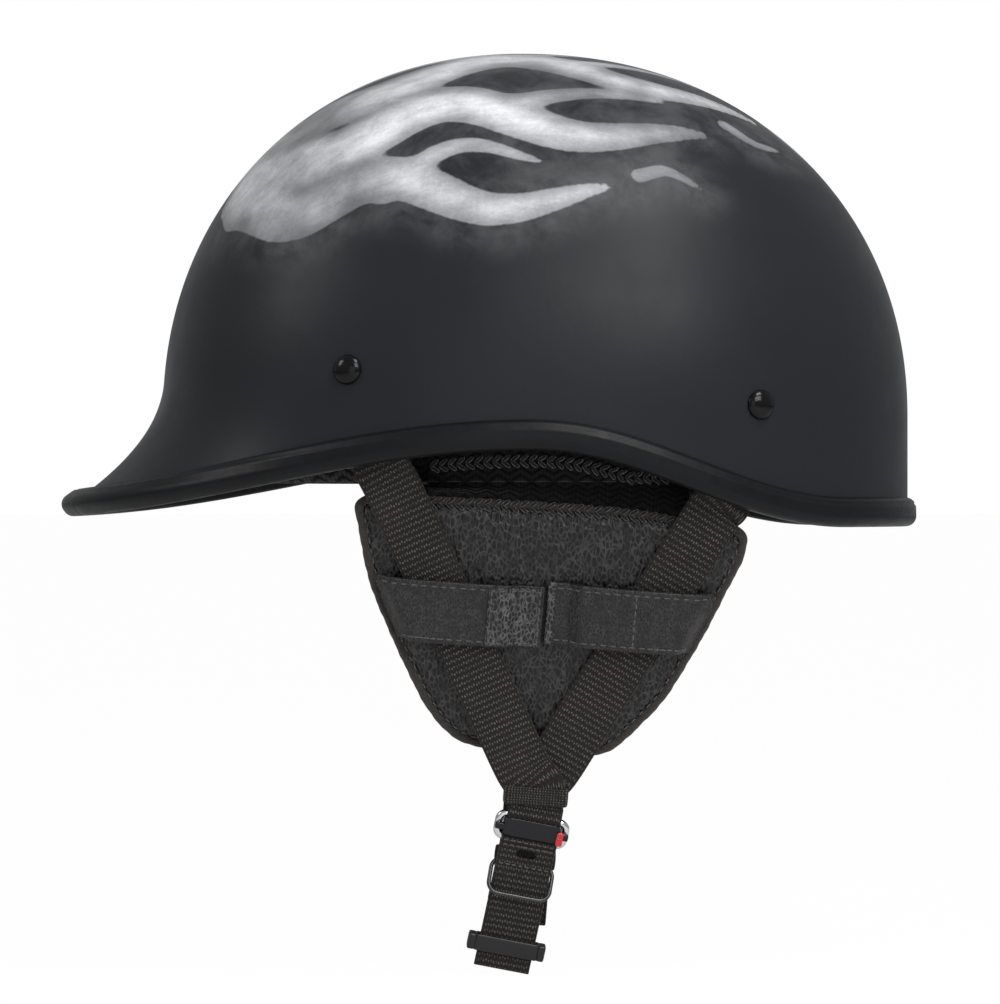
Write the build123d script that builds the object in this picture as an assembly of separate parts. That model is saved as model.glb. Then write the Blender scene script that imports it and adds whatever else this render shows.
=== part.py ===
from build123d import *
import math
import os

# Half shell helmet in millimetres: -X is the front, -Y the wearer's left, +Z up.
# The origin is the middle of the head opening at the level of the shell's rim.

# Shell, an egg-shaped dome about an upright line through its crown
shell_front_reach = 133.0
shell_rear_reach = 143.0
shell_half_width = 113.0
shell_wall = 3.5
crown_set_forward = 7.0
dome_base_height = 32.0
dome_rise = 135.0
crown_flat_radius = 8.0
plan_power = 2.15
dome_power = 2.12

# Short peak, flared from the front wall
peak_flare_reach = 25.0
peak_flare_height = 38.0
peak_flare_start = 45.0
peak_flare_power = 1.9
peak_spread_power = 4.0

# Rim line, raised over each ear
rim_front_height = 0.0
rim_rear_drop = 2.6
rim_hump_height = 24.2
rim_hump_set_forward = 4.0
rim_hump_front_length = 190.0
rim_hump_rear_length = 112.0
rim_run_out = 40.0

# Rubber edge trim
trim_height = 10.7
trim_outer_leg = 3.2
trim_inner_leg = 1.75

# Foam liner and the padding in it
liner_gap = 0.5
foam_thickness = 22.0
foam_crown_thickness = 30.0
foam_rim_set_back = 0.35
hanger_layer = 1.8
headband_thickness = 7.0
headband_bottom = 8.0
headband_height = 42.0
crown_pad_thickness = 8.0
crown_pad_length = 104.0
crown_pad_width = 78.0
crown_patch_length = 40.0
crown_patch_width = 26.0
hook_patch_height = 26.0
hook_patch_half_width = 22.0
hook_patch_clear = 0.1
liner_edge_thickness = 1.2
liner_edge_front = 45.0
liner_edge_rear = 60.0
hanger_front = 40.0
hanger_rear = 52.0
hanger_height = 30.0
hanger_hinge_clear = 2.2

# Chin straps of woven webbing
webbing_width = 20.0
webbing_thickness = 1.5
channel_side_clear = 1.5
channel_depth = 8.5
strap_wall_inset = 1.65
strap_trim_inset = 3.4
strap_tail = 9.0
fabric_clear = 0.3

# Domed rivets that hold the straps
rivet_head_radius = 5.25
rivet_head_height = 2.8
rivet_shank_radius = 2.0
rivet_hole_clear = 0.05
rivet_seat_clear = 0.08
rivet_washer_radius = 6.0
rivet_washer_thickness = 1.0
rivet_tail_radius = 3.2
rivet_tail_height = 1.2
rivet_pocket_radius = 7.5
rivet_pocket_depth = 12.0
front_rivet_set_forward = 68.0
front_rivet_height = 47.0
rear_rivet_set_back = 76.0
rear_rivet_height = 35.0

# Line along which the straps and the ear flap of one side swing
swing_front_forward = 55.0
swing_front_out = 97.0
swing_front_height = 6.0
swing_rear_back = 63.0
swing_rear_out = 92.0
swing_rear_drop = 3.0
side_lean = 12.0
swing_gap = 0.35

# Places along and below the swing line, on one side
strap_front_start = 56.5
strap_rear_start = 56.0
strap_drop = 101.0
strap_meet_share = 0.045
strap_join_turn_share = 0.05
sleeve_drop = 103.4
sleeve_height = 6.4
sleeve_wall = 1.0
sleeve_side_clear = 0.4

# Ear flap
flap_width = 139.5
flap_height = 95.0
flap_front = 70.5
flap_face_depth = 1.1
flap_panel_thickness = 3.8
flap_lining_thickness = 4.1
binding_width = 3.0
binding_height = 3.2
flap_outline_shares = [
    (0.012, 0.065), (0.022, 0.155), (0.060, 0.358), (0.120, 0.544), (0.178, 0.703), (0.235, 0.840),
    (0.303, 0.938), (0.380, 0.972), (0.506, 0.976), (0.630, 0.975), (0.707, 0.945), (0.788, 0.815),
    (0.833, 0.723), (0.877, 0.593), (0.920, 0.452), (0.962, 0.293), (0.998, 0.150), (0.985, 0.062),
    (0.849, 0.042), (0.721, 0.020), (0.470, 0.018), (0.194, 0.030), (0.070, 0.036),
]
panel_crown_shares = [(0.0, 1.05), (0.5, 1.05), (0.8, 1.6), (0.95, 2.8), (1.0, 4.6)]
lining_crown_shares = [(0.0, 1.05), (0.4, 1.05), (0.8, 2.0), (1.0, 3.6)]

# Leather keeper tabs over the straps
tab_thickness = 1.8
tab_height = 22.5
tab_front_hinge = 59.7
tab_rear_hinge = 58.5
tab_middle_gap = 0.6
tab_front_drop = 31.0
tab_rear_drop = 29.0
tab_hinge_depth = 1.7
tab_step_in = 1.8
tab_step_depth = 0.8
tab_bridge_start = 5.8
tab_bridge_end = 46.0
tab_land_start = 50.0
tab_strap_clear = 0.4
tab_patch_clear = 0.3
patch_width = 30.0
patch_height = 19.0
patch_thickness = 0.7

# Steel ring below the left sleeve, with its guard plate and red release tab
ring_wire_radius = 1.5
ring_inner_width = 20.8
ring_height = 8.0
ring_drop = 115.2
ring_set_back = 2.5
ring_corner_radius = 2.4
chain_lean = 7.0
bar_clear = 0.2
loop_thickness = 1.3
plate_width = 20.2
plate_thickness = 1.0
plate_height = 8.4
plate_clip_height = 2.4
plate_clear = 0.05
release_width = 2.4
release_height = 5.4
release_thickness = 1.0
release_gap = 0.1

# Short strap below the ring
short_strap_length = 48.7
short_strap_turned = 24.0
slot_length = 7.0
slot_width = 3.3
slot_drop = 5.2
keeper_wire_radius = 0.75
keeper_drop = 15.0
keeper_height = 13.0
keeper_lean = 32.0
keeper_side_clear = 0.3
keeper_corner_radius = 4.0
slider_drop = 40.0
slider_width = 28.0
slider_height = 6.0
slider_thickness = 5.0
slider_edge_radius = 1.0

# Long chin strap on the right side, folded and kept by a loop
chin_fold_length = 46.0
chin_layer_gap = 0.4
chin_lead = 8.0
chin_loop_wall = 1.2
chin_loop_height = 8.0
chin_loop_drop = 30.0

# Counts of sections and points that shape the curved walls
wall_sections = 10
skirt_sections = 6
ring_points = 24
trim_sections = 16
rim_points = 28
cut_overrun = 60.0


def spread(start, end, count):
    return [start + (end - start) * i / (count - 1) for i in range(count)]


def plan_radius(azimuth, inset):
    along, across = math.cos(azimuth), math.sin(azimuth)
    reach = (shell_rear_reach if along > 0 else shell_front_reach) - inset
    half = shell_half_width - inset
    return ((abs(along) / reach) ** plan_power + (abs(across) / half) ** plan_power) ** (-1 / plan_power)


def dome_shrink(height, rise):
    share = max(0.0, (height - dome_base_height) / rise)
    return (1 - min(share, 1.0) ** dome_power) ** (1 / dome_power)


def peak_flare(azimuth, height):
    depth = max(0.0, peak_flare_start - height) / peak_flare_height
    return peak_flare_reach * depth ** peak_flare_power * max(0.0, -math.cos(azimuth)) ** peak_spread_power


def wall_point(azimuth, height, inset, flared=True, crown_inset=None):
    rise = dome_rise - (inset if crown_inset is None else crown_inset)
    radius = plan_radius(azimuth, inset) * dome_shrink(height, rise)
    if flared:
        radius += peak_flare(azimuth, height)
    return Vector(radius * math.cos(azimuth) - crown_set_forward, radius * math.sin(azimuth), height)


def side_wall_out(x, height, inset):
    """How far out from the middle plane the dome's wall stands at a place along it."""
    reach = (shell_rear_reach if x > -crown_set_forward else shell_front_reach) - inset
    share = dome_shrink(height, dome_rise - inset) ** plan_power
    share -= (abs(x + crown_set_forward) / reach) ** plan_power
    return (shell_half_width - inset) * share ** (1 / plan_power)


def wall_ring(height, inset, flared, crown_inset):
    angles = [2 * math.pi * i / ring_points for i in range(ring_points)]
    points = [wall_point(a, height, inset, flared, crown_inset) for a in angles]
    return Wire(Edge.make_spline(points, periodic=True))


def dome_solid(inset, bottom, flared=False, crown_inset=None):
    """A closed dome, its wall set in from the shell's outer face, down to a flat bottom."""
    top_inset = inset if crown_inset is None else crown_inset
    rise = dome_rise - top_inset
    flat_share = crown_flat_radius / shell_half_width
    top_angle = math.acos(flat_share)
    heights = spread(bottom, dome_base_height, skirt_sections)
    heights += [dome_base_height + rise * math.sin(a) for a in spread(0.0, top_angle, wall_sections)][1:]
    return Solid.make_loft([wall_ring(h, inset, flared, crown_inset) for h in heights])


def rim_height(x):
    along = x + rim_hump_set_forward
    if along < 0:
        base, length = rim_front_height, rim_hump_front_length
    else:
        base, length = -rim_rear_drop, rim_hump_rear_length
    share = min(abs(along) / length, 1.0)
    return base + (rim_hump_height - base) * (1 + math.cos(math.pi * share)) / 2


def below_rim(lift):
    """Everything below the rim line, raised by a lift, as a block to cut away."""
    front = -(shell_front_reach + crown_set_forward + peak_flare_reach + rim_run_out)
    rear = shell_rear_reach + rim_run_out
    places = spread(front, rear, rim_points)
    line = [Vector(x, 0, rim_height(x) + lift) for x in places]
    floor = -(rim_rear_drop + cut_overrun)
    edges = [Edge.make_spline(line)]
    corners = [line[-1], Vector(rear, 0, floor), Vector(front, 0, floor), line[0]]
    edges += [Edge.make_line(a, b) for a, b in zip(corners, corners[1:])]
    return extrude(Face(Wire(edges)), amount=shell_half_width + cut_overrun, dir=(0, 1, 0), both=True)


def rim_point(azimuth, inset):
    point = wall_point(azimuth, 0, inset)
    for _ in range(8):
        point = wall_point(azimuth, rim_height(point.X), inset)
    return point


def only(shape):
    """The shape's one solid."""
    solids = sorted(shape.solids(), key=lambda s: s.volume)
    return solids[-1]


skirt_bottom = -(rim_rear_drop + trim_height)
foam_outer = shell_wall + liner_gap
foam_inner = foam_outer + foam_thickness
foam_inner_crown = foam_outer + foam_crown_thickness
headband_outer = foam_inner + hanger_layer
headband_top = headband_bottom + headband_height
foam_rim_lift = trim_height / 2 + foam_rim_set_back


def box_between(low, high):
    size = [high[i] - low[i] for i in range(3)]
    middle = [(high[i] + low[i]) / 2 for i in range(3)]
    return Pos(*middle) * Box(*size)


def layer(inset, thickness, low, high, crown_inset=None):
    """A piece of the wall between two insets, kept inside a box."""
    inner_crown = None if crown_inset is None else crown_inset + thickness
    outer = dome_solid(inset, skirt_bottom, crown_inset=crown_inset)
    inner = dome_solid(inset + thickness, skirt_bottom - thickness, crown_inset=inner_crown)
    return (outer & box_between(low, high)) - inner


# Straps of one side, with their stations from the rivet to the swing line
def side_plane():
    front = Vector(-swing_front_forward, -swing_front_out, swing_front_height)
    rear = Vector(swing_rear_back, -swing_rear_out, -swing_rear_drop)
    along = (rear - front).normalized()
    level_out = Vector(along.Y, -along.X, 0).normalized()
    up = level_out.cross(along)
    lean = math.radians(side_lean)
    out = level_out * math.cos(lean) - up * math.sin(lean)
    return Plane(origin=(front + rear) / 2, x_dir=along, z_dir=out)


side = side_plane()


def side_point(along, up, out):
    return side.from_local_coords(Vector(along, up, out))


def place(piece):
    return side.location * piece


def section(centre, across, facing, width, thickness):
    corners = [(-1, -1), (1, -1), (1, 1), (-1, 1)]
    half_width, half_thick = width / 2, thickness / 2
    points = [centre + across * (a * half_width) + facing * (b * half_thick) for a, b in corners]
    return Wire.make_polygon(points, close=True)


front_rivet = (-front_rivet_set_forward, front_rivet_height)
rear_rivet = (rear_rivet_set_back, rear_rivet_height)


def wall_facing(x, height):
    """Outward direction of the shell's left wall at a place."""
    step = shell_wall / 2
    around = [Vector(a, -side_wall_out(a, b, 0), b) for a, b in (
        (x - step, height), (x + step, height), (x, height - step), (x, height + step))]
    return (around[1] - around[0]).cross(around[3] - around[2]).normalized()


def strap_run(start, meet):
    """Direction of a moving strap, from where it meets the other strap up to the swing line."""
    return (Vector(start, 0, 0) - Vector(meet, -strap_drop, 0)).normalized()


def strap_root(rivet, start, meet, width, thickness, end_clear=0.0):
    """A fixed strap end, lofted from its tail above the rivet down to the swing line."""
    x, height = rivet
    low = side_point(start, webbing_thickness / 2 + swing_gap, 0)
    inner = shell_wall + strap_wall_inset
    past_trim = shell_wall + strap_trim_inset
    rim = rim_height(low.X)
    slope = (x - low.X) / (height - low.Z)
    middle = low.X + slope * (rim + trim_height - low.Z)
    places = [
        (x + slope * (strap_tail + end_clear), height + strap_tail + end_clear, inner),
        (x - slope * strap_tail, height - strap_tail, inner),
        (middle, rim + trim_height, past_trim),
        ((middle + low.X) / 2, rim - trim_height / 2, past_trim),
    ]
    centres = [Vector(a, -side_wall_out(a, b, c), b) for a, b, c in places]
    run = centres[0] - low
    wires = []
    for centre, (a, b, c) in zip(centres, places):
        facing = wall_facing(a, b)
        wires.append(section(centre, facing.cross(run).normalized(), facing, width, thickness))
    lean_share = strap_run(start, meet).Y
    wires.append(section(low, -side.x_dir, side.z_dir, width / lean_share, thickness))
    return Solid.make_loft(wires, ruled=True)


def rivet_plane(rivet):
    x, height = rivet
    return Plane(origin=(x, -side_wall_out(x, height, 0), height), z_dir=wall_facing(x, height))


def rivet_solid(rivet):
    """A domed head outside the shell, a shank through shell and strap, and a spread tail."""
    plane = rivet_plane(rivet)
    stack = shell_wall + strap_wall_inset + webbing_thickness + rivet_washer_thickness
    sphere_radius = (rivet_head_radius ** 2 + rivet_head_height ** 2) / (2 * rivet_head_height)
    base = rivet_seat_clear
    ball = Pos(0, 0, base + rivet_head_height - sphere_radius) * Sphere(sphere_radius)
    cap_box = Box(2 * sphere_radius, 2 * sphere_radius, rivet_head_height)
    cap_box = Pos(0, 0, base + rivet_head_height / 2) * cap_box
    shank = Pos(0, 0, (base - stack) / 2) * Cylinder(rivet_shank_radius, stack + base)
    tail = Pos(0, 0, -stack - rivet_tail_height / 2) * Cylinder(rivet_tail_radius, rivet_tail_height)
    return plane.location * ((ball & cap_box) + shank + tail)


def rivet_washer(rivet):
    depth = shell_wall + strap_wall_inset + webbing_thickness + rivet_washer_thickness / 2
    disc = Pos(0, 0, -depth) * Cylinder(rivet_washer_radius, rivet_washer_thickness)
    hole = Pos(0, 0, -depth) * Cylinder(rivet_shank_radius, 2 * rivet_washer_thickness)
    return rivet_plane(rivet).location * (disc - hole)


def rivet_hole(rivet, clear):
    depth = shell_wall + strap_wall_inset + webbing_thickness
    return rivet_plane(rivet).location * (Pos(0, 0, -depth / 2) * Cylinder(rivet_shank_radius + clear, 2 * depth))


def rivet_pocket(rivet):
    drop = shell_wall + rivet_pocket_depth / 2
    return rivet_plane(rivet).location * (Pos(0, 0, -drop) * Cylinder(rivet_pocket_radius, rivet_pocket_depth))


def mirrored(piece):
    return mirror(piece, about=Plane.XZ)


strap_half_meet = flap_width * strap_meet_share / 2
front_strap_ends = (-strap_front_start, ring_set_back - strap_half_meet)
rear_strap_ends = (strap_rear_start, ring_set_back + strap_half_meet)
strap_ends = ((front_rivet, front_strap_ends), (rear_rivet, rear_strap_ends))


def outer_shell():
    shell = dome_solid(0, skirt_bottom, True) - dome_solid(shell_wall, skirt_bottom - shell_wall, True)
    shell -= below_rim(0)
    for rivet in (front_rivet, rear_rivet):
        hole = rivet_hole(rivet, rivet_hole_clear)
        shell = shell - hole - mirrored(hole)
    return shell


def trim_profile(azimuth):
    """A rounded bar's outline, upright along the wall and square to the rim line."""
    step = math.pi / (4 * trim_sections)
    inset = (shell_wall + trim_inner_leg - trim_outer_leg) / 2
    centre = rim_point(azimuth, inset)
    ahead = rim_point(azimuth + step, inset) - rim_point(azimuth - step, inset)
    over = wall_point(azimuth, centre.Z + trim_height / 2, inset)
    up = over - centre
    if abs(math.sin(azimuth)) < math.sin(step):
        ahead = Vector(0, ahead.Y, 0)
        up = Vector(up.X, 0, up.Z)
    out = ahead.cross(up).normalized()
    plane = Plane(origin=centre, x_dir=ahead.cross(out).normalized(), z_dir=ahead.normalized())
    width = shell_wall + trim_outer_leg + trim_inner_leg
    return (plane.location * SlotOverall(trim_height, width).face()).outer_wire()


def edge_trim(shell):
    angles = spread(math.pi, 2 * math.pi, trim_sections)
    half = Solid.make_loft([trim_profile(a) for a in angles])
    return (half + mirrored(half)) - shell


def impact_liner():
    foam = dome_solid(foam_outer, skirt_bottom) - dome_solid(
        foam_inner, skirt_bottom - foam_thickness, crown_inset=foam_inner_crown)
    foam -= below_rim(foam_rim_lift)
    for rivet, ends in strap_ends:
        width = webbing_width + 2 * channel_side_clear
        channel = strap_root(rivet, *ends, width, channel_depth, channel_side_clear)
        foam = foam - channel - mirrored(channel)
    for rivet in (front_rivet, rear_rivet):
        pocket = rivet_pocket(rivet)
        foam = foam - pocket - mirrored(pocket)
    return foam


def headband_pad():
    band_box = [(-shell_front_reach - crown_set_forward, -shell_half_width, headband_bottom),
                (shell_rear_reach, shell_half_width, headband_top)]
    return layer(headband_outer, headband_thickness, *band_box, crown_inset=foam_inner_crown + hanger_layer)


def headband_hook_patches():
    """Hook patches between foam and headband, at the front and the rear."""
    low_z = headband_top - hook_patch_height
    half = hook_patch_half_width
    inset = foam_inner + hook_patch_clear
    thick = hanger_layer - 2 * hook_patch_clear
    front_low = -(shell_front_reach + crown_set_forward)
    pieces = []
    for low_x, high_x in ((front_low, -crown_set_forward), (0, shell_rear_reach)):
        box = [(low_x, -half, low_z), (high_x, half, headband_top)]
        pieces.append(layer(inset, thick, *box, crown_inset=foam_inner_crown + hook_patch_clear))
    return Compound(children=[only(p) for p in pieces])


def crown_piece(length, width, inset, thickness):
    """A piece of the crown between two heights of the dome, with an oval outline."""
    outer = dome_solid(inset, skirt_bottom, crown_inset=foam_inner_crown + inset - foam_inner)
    low = inset + thickness
    inner = dome_solid(low, skirt_bottom - thickness, crown_inset=foam_inner_crown + low - foam_inner)
    oval = extrude(Ellipse(length / 2, width / 2), amount=dome_rise + dome_base_height)
    return (outer & (Pos(-crown_set_forward, 0, 0) * oval)) - inner


def crown_pad():
    return crown_piece(crown_pad_length, crown_pad_width, headband_outer, crown_pad_thickness)


def crown_hook_patch():
    thick = hanger_layer - 2 * hook_patch_clear
    return crown_piece(crown_patch_length, crown_patch_width, foam_inner + hook_patch_clear, thick)


def liner_edge():
    inset = foam_inner - liner_edge_thickness - fabric_clear
    low = (-liner_edge_front, -shell_half_width, headband_bottom)
    high = (liner_edge_rear, 0, headband_bottom + headband_height)
    piece = layer(inset, liner_edge_thickness, low, high)
    return piece & below_rim(foam_rim_lift - fabric_clear)


def flap_hanger():
    inset = foam_inner + fabric_clear
    thick = hanger_layer - 2 * fabric_clear
    low_z = side.origin.Z + hanger_hinge_clear
    low = (-hanger_front, -shell_half_width, low_z)
    high = (hanger_rear, 0, low_z + hanger_height)
    return layer(inset, thick, low, high)


# Moving pieces of one side, in the side's own plane: along the swing line, up and out
along_way = Vector(1, 0, 0)
out_way = Vector(0, 0, 1)
loop_outer = ring_wire_radius + bar_clear + loop_thickness
over_lift = webbing_thickness + swing_gap
chain_out = over_lift / 2
tail_drop = ring_drop - loop_outer - fabric_clear - webbing_width / 2 * math.sin(math.radians(chain_lean))
chin_swing_drop = tail_drop + fabric_clear + webbing_thickness / 2


def moving_strap(start, meet, end_out):
    """A strip from the swing line down into the sleeve, with a rounded end on the line."""
    run = strap_run(start, meet)
    across = out_way.cross(run)
    top = Vector(start, 0, 0)
    turn = Vector(meet, -strap_drop, end_out) + run * (strap_drop * strap_join_turn_share)
    tail_start = Vector(ring_set_back, -sleeve_drop, end_out)
    tail_end = Vector(ring_set_back, -tail_drop, end_out)
    cut_width = webbing_width / run.Y
    level = top - run * webbing_width
    wires = [section(top, -along_way, out_way, cut_width, webbing_thickness)]
    wires += [section(c, across, out_way, webbing_width, webbing_thickness) for c in (level, turn)]
    wires += [section(c, -along_way, out_way, webbing_width, webbing_thickness) for c in (tail_start, tail_end)]
    strip = Solid.make_loft(wires, ruled=True)
    roll_plane = Plane(origin=top - along_way * (cut_width / 2), z_dir=along_way)
    roll = extrude(roll_plane * Circle(webbing_thickness / 2), amount=cut_width)
    return only(strip + roll)


def strap_sleeve():
    """A woven band round both straps where they come together."""
    inner_width = webbing_width + 2 * sleeve_side_clear
    inner_thick = webbing_thickness + over_lift + 2 * fabric_clear
    band = Box(inner_width + 2 * sleeve_wall, sleeve_height, inner_thick + 2 * sleeve_wall)
    band -= Box(inner_width, 2 * sleeve_height, inner_thick)
    return Pos(ring_set_back, -sleeve_drop - sleeve_height / 2, chain_out) * band


def flap_outline(inset, out):
    """The flap's outline, drawn in about its middle by an inset, at a height out from the plane."""
    middle_drop = flap_height / 2
    points = []
    for along_share, drop_share in flap_outline_shares:
        along = (along_share * flap_width - flap_front) * (1 - 2 * inset / flap_width)
        up = (middle_drop - drop_share * flap_height) * (1 - inset / middle_drop)
        points.append(Vector(along, up - middle_drop, out))
    return Wire(Edge.make_spline(points, periodic=True))


flap_outer_face = -flap_face_depth - webbing_thickness / 2
flap_seam = flap_outer_face - flap_panel_thickness
flap_inner_face = flap_seam - flap_lining_thickness


def panel(seam, top, crown_shares):
    """A padded panel that rises from a flat seam to its crown, its edge drawn in."""
    wires = [flap_outline(binding_width * inset, seam + (top - seam) * rise) for rise, inset in crown_shares]
    return Solid.make_loft(wires, ruled=True)


def ear_flap():
    return panel(flap_seam, flap_outer_face, panel_crown_shares)


def ear_flap_lining():
    return panel(flap_seam, flap_inner_face, lining_crown_shares)


def flap_binding():
    """A strip of cloth that wraps the flap's edge."""
    low = flap_seam - binding_height / 2
    high = flap_seam + binding_height / 2
    outer = Solid.make_loft([flap_outline(0, low), flap_outline(0, high)], ruled=True)
    inner = Solid.make_loft([flap_outline(binding_width, low - binding_height),
                             flap_outline(binding_width, high + binding_height)], ruled=True)
    return outer - inner


def hook_patch():
    middle = Vector(0, -(tab_front_drop + tab_height / 2), flap_outer_face + patch_thickness / 2)
    return Pos(middle) * Box(patch_width, patch_height, patch_thickness)


def tab_bottom(way):
    """The tab's underside, from its hinge at the flap's edge, over the strap, to the middle."""
    hinge = tab_front_hinge if way < 0 else tab_rear_hinge
    land = flap_outer_face + patch_thickness + tab_patch_clear
    low_share = (tab_front_drop + tab_height) / strap_drop
    lift = webbing_thickness / 2 + over_lift * low_share + tab_strap_clear
    places = [
        (hinge, -tab_hinge_depth), (hinge - tab_step_in, -tab_step_depth),
        (hinge - tab_bridge_start, lift), (hinge - tab_bridge_end, lift),
        (hinge - tab_land_start, land), (tab_middle_gap, land),
    ]
    return [(way * a, b) for a, b in places]


def keeper_tab(way):
    """A leather band over one strap, hinged where it is sewn to the flap's edge."""
    line = tab_bottom(way)
    top = [(a, b + tab_thickness) for a, b in line[::-1]]
    corners = [Vector(a, 0, b) for a, b in line + top]
    profile = Face(Wire.make_polygon(corners, close=True))
    drop = tab_front_drop if way < 0 else tab_rear_drop
    return Pos(0, -drop, 0) * extrude(profile, amount=tab_height, dir=(0, -1, 0))


# The chain of small pieces below the left sleeve, in a plane that leans with them
def chain_plane(drop):
    lean = math.radians(chain_lean)
    ring = Vector(ring_set_back, -ring_drop, chain_out)
    centre = ring + Vector(-math.sin(lean), -math.cos(lean), 0) * drop
    level = side.from_local_coords(Vector(math.cos(lean), -math.sin(lean), 0)) - side.origin
    return Plane(origin=side.from_local_coords(centre), x_dir=level, z_dir=side.z_dir)


ring_frame = chain_plane(0)
bar_frame = chain_plane(ring_height)


def strap_loop():
    """The straps' own fold that holds the ring's upper bar."""
    tube = Cylinder(loop_outer, webbing_width - 2 * fabric_clear)
    tube -= Cylinder(ring_wire_radius + bar_clear, 2 * webbing_width)
    return ring_frame.location * (Rot(0, 90, 0) * tube)


def wire_ring(width, height, wire_radius, corner):
    """A closed ring of round wire, with straight sides and rounded corners."""
    path = RectangleRounded(width, height, corner).face().outer_wire()
    start = path.position_at(0)
    profile = Plane(origin=start, z_dir=path.tangent_at(0)) * Circle(wire_radius)
    return sweep(profile, path=path, transition=Transition.ROUND)


def buckle_ring():
    width = ring_inner_width + 2 * ring_wire_radius
    ring = wire_ring(width, ring_height, ring_wire_radius, ring_corner_radius)
    return ring_frame.location * (Pos(0, -ring_height / 2, 0) * ring)


def ring_plate():
    """A smooth guard plate in front of the loop, clipped to the ring's sides."""
    rest = ring_wire_radius + plate_clear
    low = loop_outer + bar_clear
    plate = Pos(0, -plate_height / 2, low + plate_thickness / 2) * Box(plate_width, plate_height, plate_thickness)
    clip_width = (ring_inner_width + 4 * ring_wire_radius - plate_width) / 2
    clip_high = low + plate_thickness
    for way in (-1, 1):
        place_along = way * (plate_width + clip_width) / 2
        clip = Box(clip_width, plate_clip_height, clip_high - rest)
        plate += Pos(place_along, -ring_height / 2, (clip_high + rest) / 2) * clip
    return ring_frame.location * plate


release_out = loop_outer + bar_clear + plate_thickness + release_gap
release_along = plate_width / 2


def release_tab():
    """A small red tab at the plate's rear edge, rounded about the line that it lifts on."""
    middle = release_out + release_thickness / 2
    tab = Pos(0, release_height / 2, 0) * Box(release_width, release_height, release_thickness)
    tab += Rot(0, 90, 0) * Cylinder(release_thickness / 2, release_width)
    lift = Pos(release_along, -plate_height + release_thickness / 2, middle)
    return ring_frame.location * (lift * tab)


def short_strap():
    """A strap folded round the ring's lower bar, with a slot and one long end."""
    bar = ring_wire_radius + bar_clear
    fold = Rot(0, 90, 0) * Cylinder(loop_outer, webbing_width)
    front = box_between((-webbing_width / 2, -short_strap_length, 0), (webbing_width / 2, 0, webbing_thickness))
    back = box_between((-webbing_width / 2, -short_strap_turned, -webbing_thickness), (webbing_width / 2, 0, 0))
    strap = fold + front + back
    strap -= Rot(0, 90, 0) * Cylinder(bar, 2 * webbing_width)
    slot = Pos(0, -slot_drop, 0) * extrude(SlotOverall(slot_length, slot_width), amount=loop_outer, both=True)
    return bar_frame.location * (strap - slot)


def strap_keeper_ring():
    """A thin ring of wire round the strap, leaning so that its lower side lies in front."""
    width = webbing_width + 2 * (keeper_side_clear + keeper_wire_radius)
    ring = wire_ring(width, keeper_height, keeper_wire_radius, keeper_corner_radius)
    return bar_frame.location * (Pos(0, -keeper_drop, 0) * Rot(-keeper_lean, 0, 0) * ring)


def strap_slider():
    """A bar with a slot that the strap's end runs through."""
    body = Box(slider_width, slider_height, slider_thickness)
    body = fillet(body.edges().filter_by(Axis.Y), slider_edge_radius)
    body -= Box(webbing_width + 2 * fabric_clear, 2 * slider_height, webbing_thickness + 2 * bar_clear)
    return bar_frame.location * (Pos(0, -slider_drop, webbing_thickness / 2) * body)


# The folded strap below the right sleeve, drawn on the left and mirrored
chin_layer_step = webbing_thickness + chin_layer_gap


def chin_strap():
    """A long strap that hangs from a rounded end and lies folded in layers."""
    half = webbing_width / 2
    low = -(chin_lead + chin_fold_length)
    strap = Rot(0, 90, 0) * Cylinder(webbing_thickness / 2, webbing_width)
    for i, high in enumerate((0, -chin_lead, -chin_lead)):
        middle = -i * chin_layer_step
        strap += box_between((-half, low, middle - webbing_thickness / 2),
                             (half, high, middle + webbing_thickness / 2))
    outer = (chin_layer_step + webbing_thickness) / 2
    turn = Rot(0, 90, 0) * (Cylinder(outer, webbing_width) - Cylinder(chin_layer_gap / 2, 2 * webbing_width))
    for i, (high, reach) in enumerate(((low, -outer), (-chin_lead, outer))):
        clip = box_between((-half, min(0, reach), -outer), (half, max(0, reach), outer))
        strap += Pos(0, high, -(i + 0.5) * chin_layer_step) * (turn & clip)
    return place(Pos(ring_set_back, -chin_swing_drop, chain_out) * strap)


def chin_loop():
    """A rubber loop that keeps the folded layers together."""
    inner_width = webbing_width + 2 * sleeve_side_clear
    inner_thick = 3 * webbing_thickness + 2 * chin_layer_gap + 2 * fabric_clear
    band = Box(inner_width + 2 * chin_loop_wall, chin_loop_height, inner_thick + 2 * chin_loop_wall)
    band -= Box(inner_width, 2 * chin_loop_height, inner_thick)
    drop = chin_swing_drop + chin_loop_drop
    return place(Pos(ring_set_back, -drop, chain_out - chin_layer_step) * band)


def both_sides(name, piece, pieces):
    pieces[name + "_left"] = piece
    pieces[name + "_right"] = mirrored(piece)


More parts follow.
